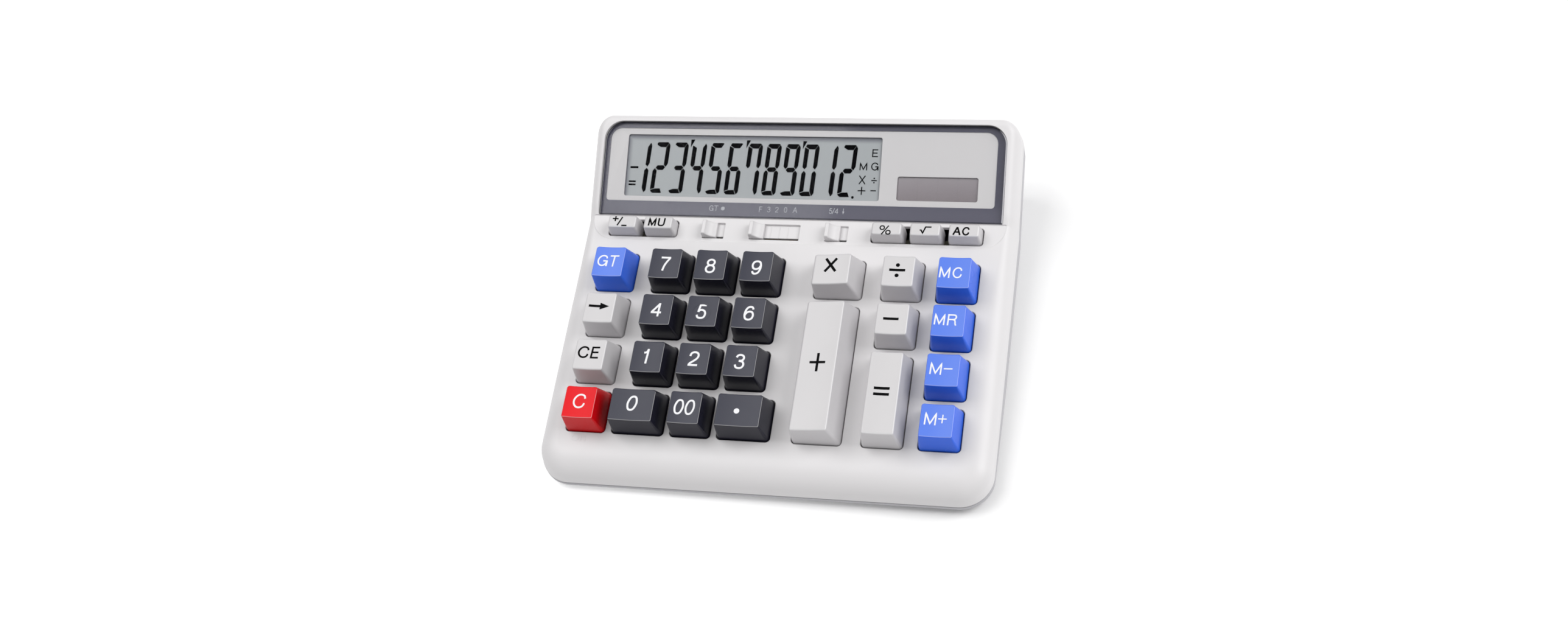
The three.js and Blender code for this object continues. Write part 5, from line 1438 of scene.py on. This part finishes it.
# finger grooves in the door, each narrower than the one in front of it
grip = {"count": 6, "start": 3.2, "pitch": 1.7, "length": 22, "narrowing": 3, "width": 0.8, "height": 0.45,
        "low": -1}
feetShape = {
    "radius": 5.5, "pocket": 0.9, "side": 17, "front": 14, "back": 19, "middle": 0.05, "topRound": 0.1,
    "soleHeight": 0.5,
    "sole": [(0.05, 0.22), (3, 0.22), (3.25, 0.05), (3.4, 0), (4.9, 0), (5.2, 0.07), (5.42, 0.25)],
}
underside = tray["footHeight"]
floorTop = underside + wall
doorGap = battery["doorClearance"]
railTop = floorTop + doorGap + battery["rail"]
cellZ = railTop + 2 * seat + battery["radius"]
bayTop = cellZ + battery["radius"] + seat
bayHalf = (battery["length"] + battery["nubLength"] + battery["spring"]) / 2 + battery["contact"] + 2 * seat
bayBack = backY - wall - battery["bayBack"]
bayFront = bayBack - 2 * battery["radius"] - 2 * seat
cellY = (bayFront + bayBack) / 2
doorHalf = bayHalf + battery["doorBorder"]
doorFront = bayFront - battery["doorBorder"]
railBack = bayBack + battery["bayWall"] / 2 - battery["doorSlide"] - doorGap
feet = atCorners(halfWidth - feetShape["side"], frontY + feetShape["front"], backY - feetShape["back"])


def leaningRing(inset, z):
    return caseRing(lambda y: inset + leanAt(y, z), lambda y: z)


def skirtRing(inset, least):
    return caseRing(lambda y: inset, lambda y: max(seamZ(y) - caseShape["skirt"], least))


def makeTray():
    edge, soft = tray["edge"], caseShape["edgeRound"]
    rings = [leaningRing(edge * up, underside + edge * across) for across, up in quarter(tray["edgeSteps"])]
    rings.append(skirtRing(0, underside + edge + seat))
    for across, up in quarter(caseShape["edgeSteps"]):
        rings.append(caseRing(lambda y: soft * across, lambda y: seamZ(y) - soft * up))
    outer = caseLoft(rings)
    shape(outer, caseLoft([
        leaningRing(wall + edge / 2, floorTop), leaningRing(wall, floorTop + edge / 3),
        skirtRing(wall, floorTop + edge / 2), caseRing(lambda y: wall, lambda y: seamZ(y) + overrun["far"]),
    ]))
    return outer


def doorBlock(extra):
    return block(-doorHalf - extra, doorHalf + extra, doorFront - extra, backY + overrun["far"],
                 -overrun["far"], battery["doorBackHeight"] + extra)


def prism(inset, lowAt, highAt):
    return caseLoft([caseRing(lambda y: inset, at) for at in (lowAt, highAt)])


def tongueRoot(y):
    return seamZ(y) - min(inside["tongueRootHeight"], (seamZ(y) - floorTop) / 2)


def tongueTop(y):
    return seamZ(y) + inside["tongueHeight"]


def makeBottomCase():
    base = makeTray()
    door = copied(base)
    shape(door, doorBlock(0), "INTERSECT")
    tongue = prism(wall - inside["tongueRoot"], tongueRoot, lambda y: seamZ(y) - seat)
    shape(tongue, prism(tongueInset, tongueRoot, tongueTop), "UNION")
    shape(tongue, prism(tongueInset + inside["tongueWall"], lambda y: 0,
                        lambda y: tongueTop(y) + overrun["far"]))
    shape(base, tongue, "UNION")
    shape(base, gathered(pegs(caseScrews, inside["standoff"], underside + wall / 2, inside["standoffTop"],
                              roundSides["post"])), "UNION")
    bay = (-bayHalf, bayHalf, bayFront, bayBack)
    thick = battery["bayWall"]
    shape(base, block(*grown(bay, thick), floorTop - wall / 2, bayTop + thick), "UNION")
    shape(base, block(*bay, -overrun["far"], bayTop))
    shape(base, doorBlock(doorGap))
    rail = doorHalf + battery["railOverhang"]
    shape(base, block(-rail - doorGap, rail + doorGap, doorFront - doorGap,
                      railBack + battery["doorSlide"] + doorGap, floorTop, railTop + doorGap))
    head, flare = inside["headRadius"] + inside["screwClearance"], inside["counterboreFlare"]
    bore = underside + inside["counterbore"]
    profile = [(head + flare, -overrun["far"]), (head + flare, underside - inside["flareFoot"]),
               (head, underside + flare), (head, bore), (screwHole, bore),
               (screwHole, inside["standoffTop"] + overrun["far"])]
    drills = [turned("drill", profile, roundSides["post"], None, x, y) for x, y in caseScrews]
    drills += pegs(feet, feetShape["radius"] + seat, -overrun["far"], underside + feetShape["pocket"],
                   roundSides["pocket"])
    shape(base, gathered(drills))
    half = battery["leadHole"] / 2
    shape(base, block(-bayHalf - thick - seat, bayHalf + thick + seat, cellY - half, cellY + half,
                      cellZ - half, cellZ + half))
    base.name = "bottomCase"
    dress(base, finishes["base"], "case", ["bottom_case"])
    shape(door, block(-doorHalf, doorHalf, doorFront, railBack, floorTop - wall / 2, railTop), "UNION")
    shape(door, block(-rail, rail, doorFront, railBack, floorTop + doorGap, railTop), "UNION")
    grips = []
    for i in range(grip["count"]):
        y, half = doorFront + grip["start"] + grip["pitch"] * i, (grip["length"] - grip["narrowing"] * i) / 2
        grips.append(block(-half, half, y - grip["width"] / 2, y + grip["width"] / 2, grip["low"],
                           underside + grip["height"]))
    shape(door, gathered(grips))
    door.name = "batteryDoor"
    return dress(door, finishes["base"], "battery_door", ["battery_door"])


makeBottomCase()
print("bottom case and battery door ready")


# rubber feet and screws
def makeFoot(name, x, y):
    radius, top = feetShape["radius"], underside + feetShape["pocket"] - seat
    profile = feetShape["sole"] + [(radius, feetShape["soleHeight"]), (radius, top - feetShape["topRound"]),
                                   (radius - feetShape["topRound"], top), (feetShape["middle"], top)]
    foot = turned("rubber_" + name, profile, roundSides["foot"], None, x, y)
    return dress(foot, finishes["foot"], "case", [name], angle=50)


# the head's points lie inwards from its radius and up from its underside, as it hangs
screwShape = {
    "headHeight": 1.8, "head": [(0.75, 0), (0.35, 0.12), (0.1, 0.4), (0, 0.8)], "headSoft": 0.15,
    "coreShare": 0.8, "threadStart": 0.5, "threadEnd": 1.4, "threadPitch": 0.7, "threadRise": 0.22,
    "pointLength": 1.2, "pointRadius": 0.2, "crossLength": 2.5, "crossWidth": 0.6, "crossDepth": 0.9,
    "crossBelow": 1,
}


def makeScrew(name, x, y, start, head, length, place=None, slot="screws", replaces=()):
    # head down, with a cross recess, and a ridged shank above
    radius = inside["screwRadius"]
    core, soft, rise = radius * screwShape["coreShare"], screwShape["headSoft"], screwShape["threadRise"]
    under = start - screwShape["headHeight"]
    profile = [(head - inwards, under + up) for inwards, up in screwShape["head"]]
    profile += [(head, start - soft), (head - soft, start), (core, start)]
    z = start + screwShape["threadStart"]
    while z < start + length - screwShape["threadEnd"]:
        profile += [(core, z), (radius, z + rise), (core, z + 2 * rise)]
        z += screwShape["threadPitch"]
    end = start + length
    profile += [(core, end - screwShape["pointLength"]), (screwShape["pointRadius"], end)]
    screw = turned(name, profile, roundSides["screw"], place, x, y)
    long, short = screwShape["crossLength"] / 2, screwShape["crossWidth"] / 2
    for halfX, halfY in ((short, long), (long, short)):
        shape(screw, block(x - halfX, x + halfX, y - halfY, y + halfY, under - screwShape["crossBelow"],
                           under + screwShape["crossDepth"], place))
    return dress(screw, finishes["steel"], "case", replaces, angle=35)


boardScrew = {"head": 2, "length": 6, "gap": 0.02}
screwSeat = underside + inside["counterbore"] - seat
for corner, foot, screw in zip(("front_left", "front_right", "back_left", "back_right"), feet, caseScrews):
    makeFoot("foot_" + corner, *foot)
    makeScrew("steel_screw_" + corner, *screw, screwSeat, inside["headRadius"], inside["screwLength"],
              replaces=["case_screw_" + corner])
for index, (x, y) in enumerate(boardScrews):
    makeScrew(f"board_screw_{index + 1}", x, y, boardBottom - boardScrew["gap"], boardScrew["head"],
              boardScrew["length"], plateFrame)
print("feet and screws ready")

# how far the points of a dome lie out from its foot or crown radius, and up from the sheet or the crown
domeShape = {
    "foot": [(0.25, 0), (0, 0.15), (-0.35, 0.9)],
    "crown": [(0.35, -0.9), (0.12, -0.3), (0, -0.08), (-0.15, 0)],
}


# keypad: one silicone sheet, and a dome for each stem
def makeKeypad():
    outline = roundedOutline(fieldLeft + inside["boardSide"], fieldLeft + fieldWidth - inside["boardSide"],
                             caseShape["frontMargin"] - inside["boardFront"],
                             plateLength - inside["boardBack"], inside["boardCorner"])
    sheet = ringLoft("silicone_sheet", [atHeight(outline, sheetBottom), atHeight(outline, sheetTop)],
                     plateFrame)
    ribbonLeft = (lcdLeft + lcdRight - inside["ribbonWidth"]) / 2
    past = overrun["far"]
    shape(sheet, block(min(slots[0]["x"], ribbonLeft) - seat,
                       slots[2]["x"] + slots[2]["width"] + keyField["rowGap"],
                       slotFront - smallRow["rowGap"] / 2, plateLength - inside["boardBack"] + past,
                       sheetBottom - past, sheetTop + past, plateFrame))
    shape(sheet, gathered(pegs(boardScrews, inside["bossRadius"] + seat, sheetBottom - overrun["near"],
                               sheetTop + overrun["near"], roundSides["stem"], plateFrame)))
    dress(sheet, finishes["silicone"], "case", ["rubber_keypad"])
    for key in keys:
        scale = inside["smallStemRadius"] / inside["stemRadius"] if key.get("small") else 1
        base, top = inside["domeBase"] * scale, inside["domeTop"] * scale
        profile = [(base + out, sheetTop + up) for out, up in domeShape["foot"]]
        profile += [(top + out, domeTop + up) for out, up in domeShape["crown"]]
        for index, offset in enumerate(key.get("stems", (0,))):
            dome = turned(key["name"].replace("key_", "dome_") + ("_b" if index else ""), profile,
                          roundSides["stem"], plateFrame, key["x"], key["y"] + offset)
            dress(dome, finishes["silicone"], "case", angle=50, even=False)
            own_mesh(dome)


makeKeypad()

# solids that keep their shape get their finish
carried = {
    "lcd_glass": "lcd", "solar_cell": "solar", "lcd_holder": "holder", "circuit_board": "board",
    "battery_cell": "battery", "battery_contact": "brass", "battery_spring": "spring",
    "lcd_ribbon": "ribbon", "battery_lead_left": "lead", "battery_lead_right": "lead",
    "grand_total_switch_wiper": "brass", "decimal_switch_wiper": "brass", "rounding_switch_wiper": "brass",
}
for name, finish in carried.items():
    materials = nodes[name].data.materials
    materials.clear()
    materials.append(finishes[finish])
print("inner parts dressed:", len(carried))

# studio: pale floor, white surroundings, large soft lights, in metres
studio = {
    "floor": 6, "floorLow": -0.02 * mm, "floorTone": paint(253, 253, 253), "worldStrength": 0.5,
    "glow": 0.4, "glowFrom": 0.06, "glowTo": -0.08, "aim": (0, 0, 0.02),
    "lights": [
        {"name": "keyLight", "place": (-1.2, 0.3, 2.4), "size": 1.7, "power": 30},
        {"name": "rightLight", "place": (1.6, 0.35, 1.5), "size": 1.4, "power": 25},
    ],
}


def makeFloor():
    half = studio["floor"] / 2 / mm
    floor = buildMesh("studioFloor", atHeight(corners(-half, half, -half, half), studio["floorLow"] / mm),
                      [(0, 1, 2, 3)])
    material, tree, shader = newMaterial("floorPaper", Emission_Color=white)
    place = objectPlace(tree)
    paper = noise(tree, place, 400, 3)
    # the paper glows a little where it is seen to the left, so that the shadow falls to the right alone
    glow = spread(tree, along(tree, place, "X"), studio["glowFrom"], studio["glowTo"], 0, studio["glow"])
    seen = add(tree, "ShaderNodeLightPath").outputs["Is Camera Ray"]
    giveAll(tree, shader, Base_Color=tinted(tree, paper, 0.04, studio["floorTone"], paint(236, 236, 236)),
            Roughness=fromNoise(tree, paper, 0.5, 0.6), Emission_Strength=times(tree, glow, seen))
    floor.data.materials.append(material)


makeFloor()
world = bpy.data.worlds.new("studioWorld")
bpy.context.scene.world = world
world.use_nodes = True
giveAll(world.node_tree, world.node_tree.nodes["Background"].inputs, Color=white,
        Strength=studio["worldStrength"])
for light in studio["lights"]:
    lamp = bpy.data.lights.new(light["name"], "AREA")
    lamp.size = light["size"]
    lamp.energy = light["power"]
    holder = bpy.data.objects.new(light["name"], lamp)
    holder.location = light["place"]
    holder.rotation_euler = (Vector(studio["aim"]) - holder.location).to_track_quat("-Z", "Y").to_euler()
    bpy.context.scene.collection.objects.link(holder)
print("studio ready")
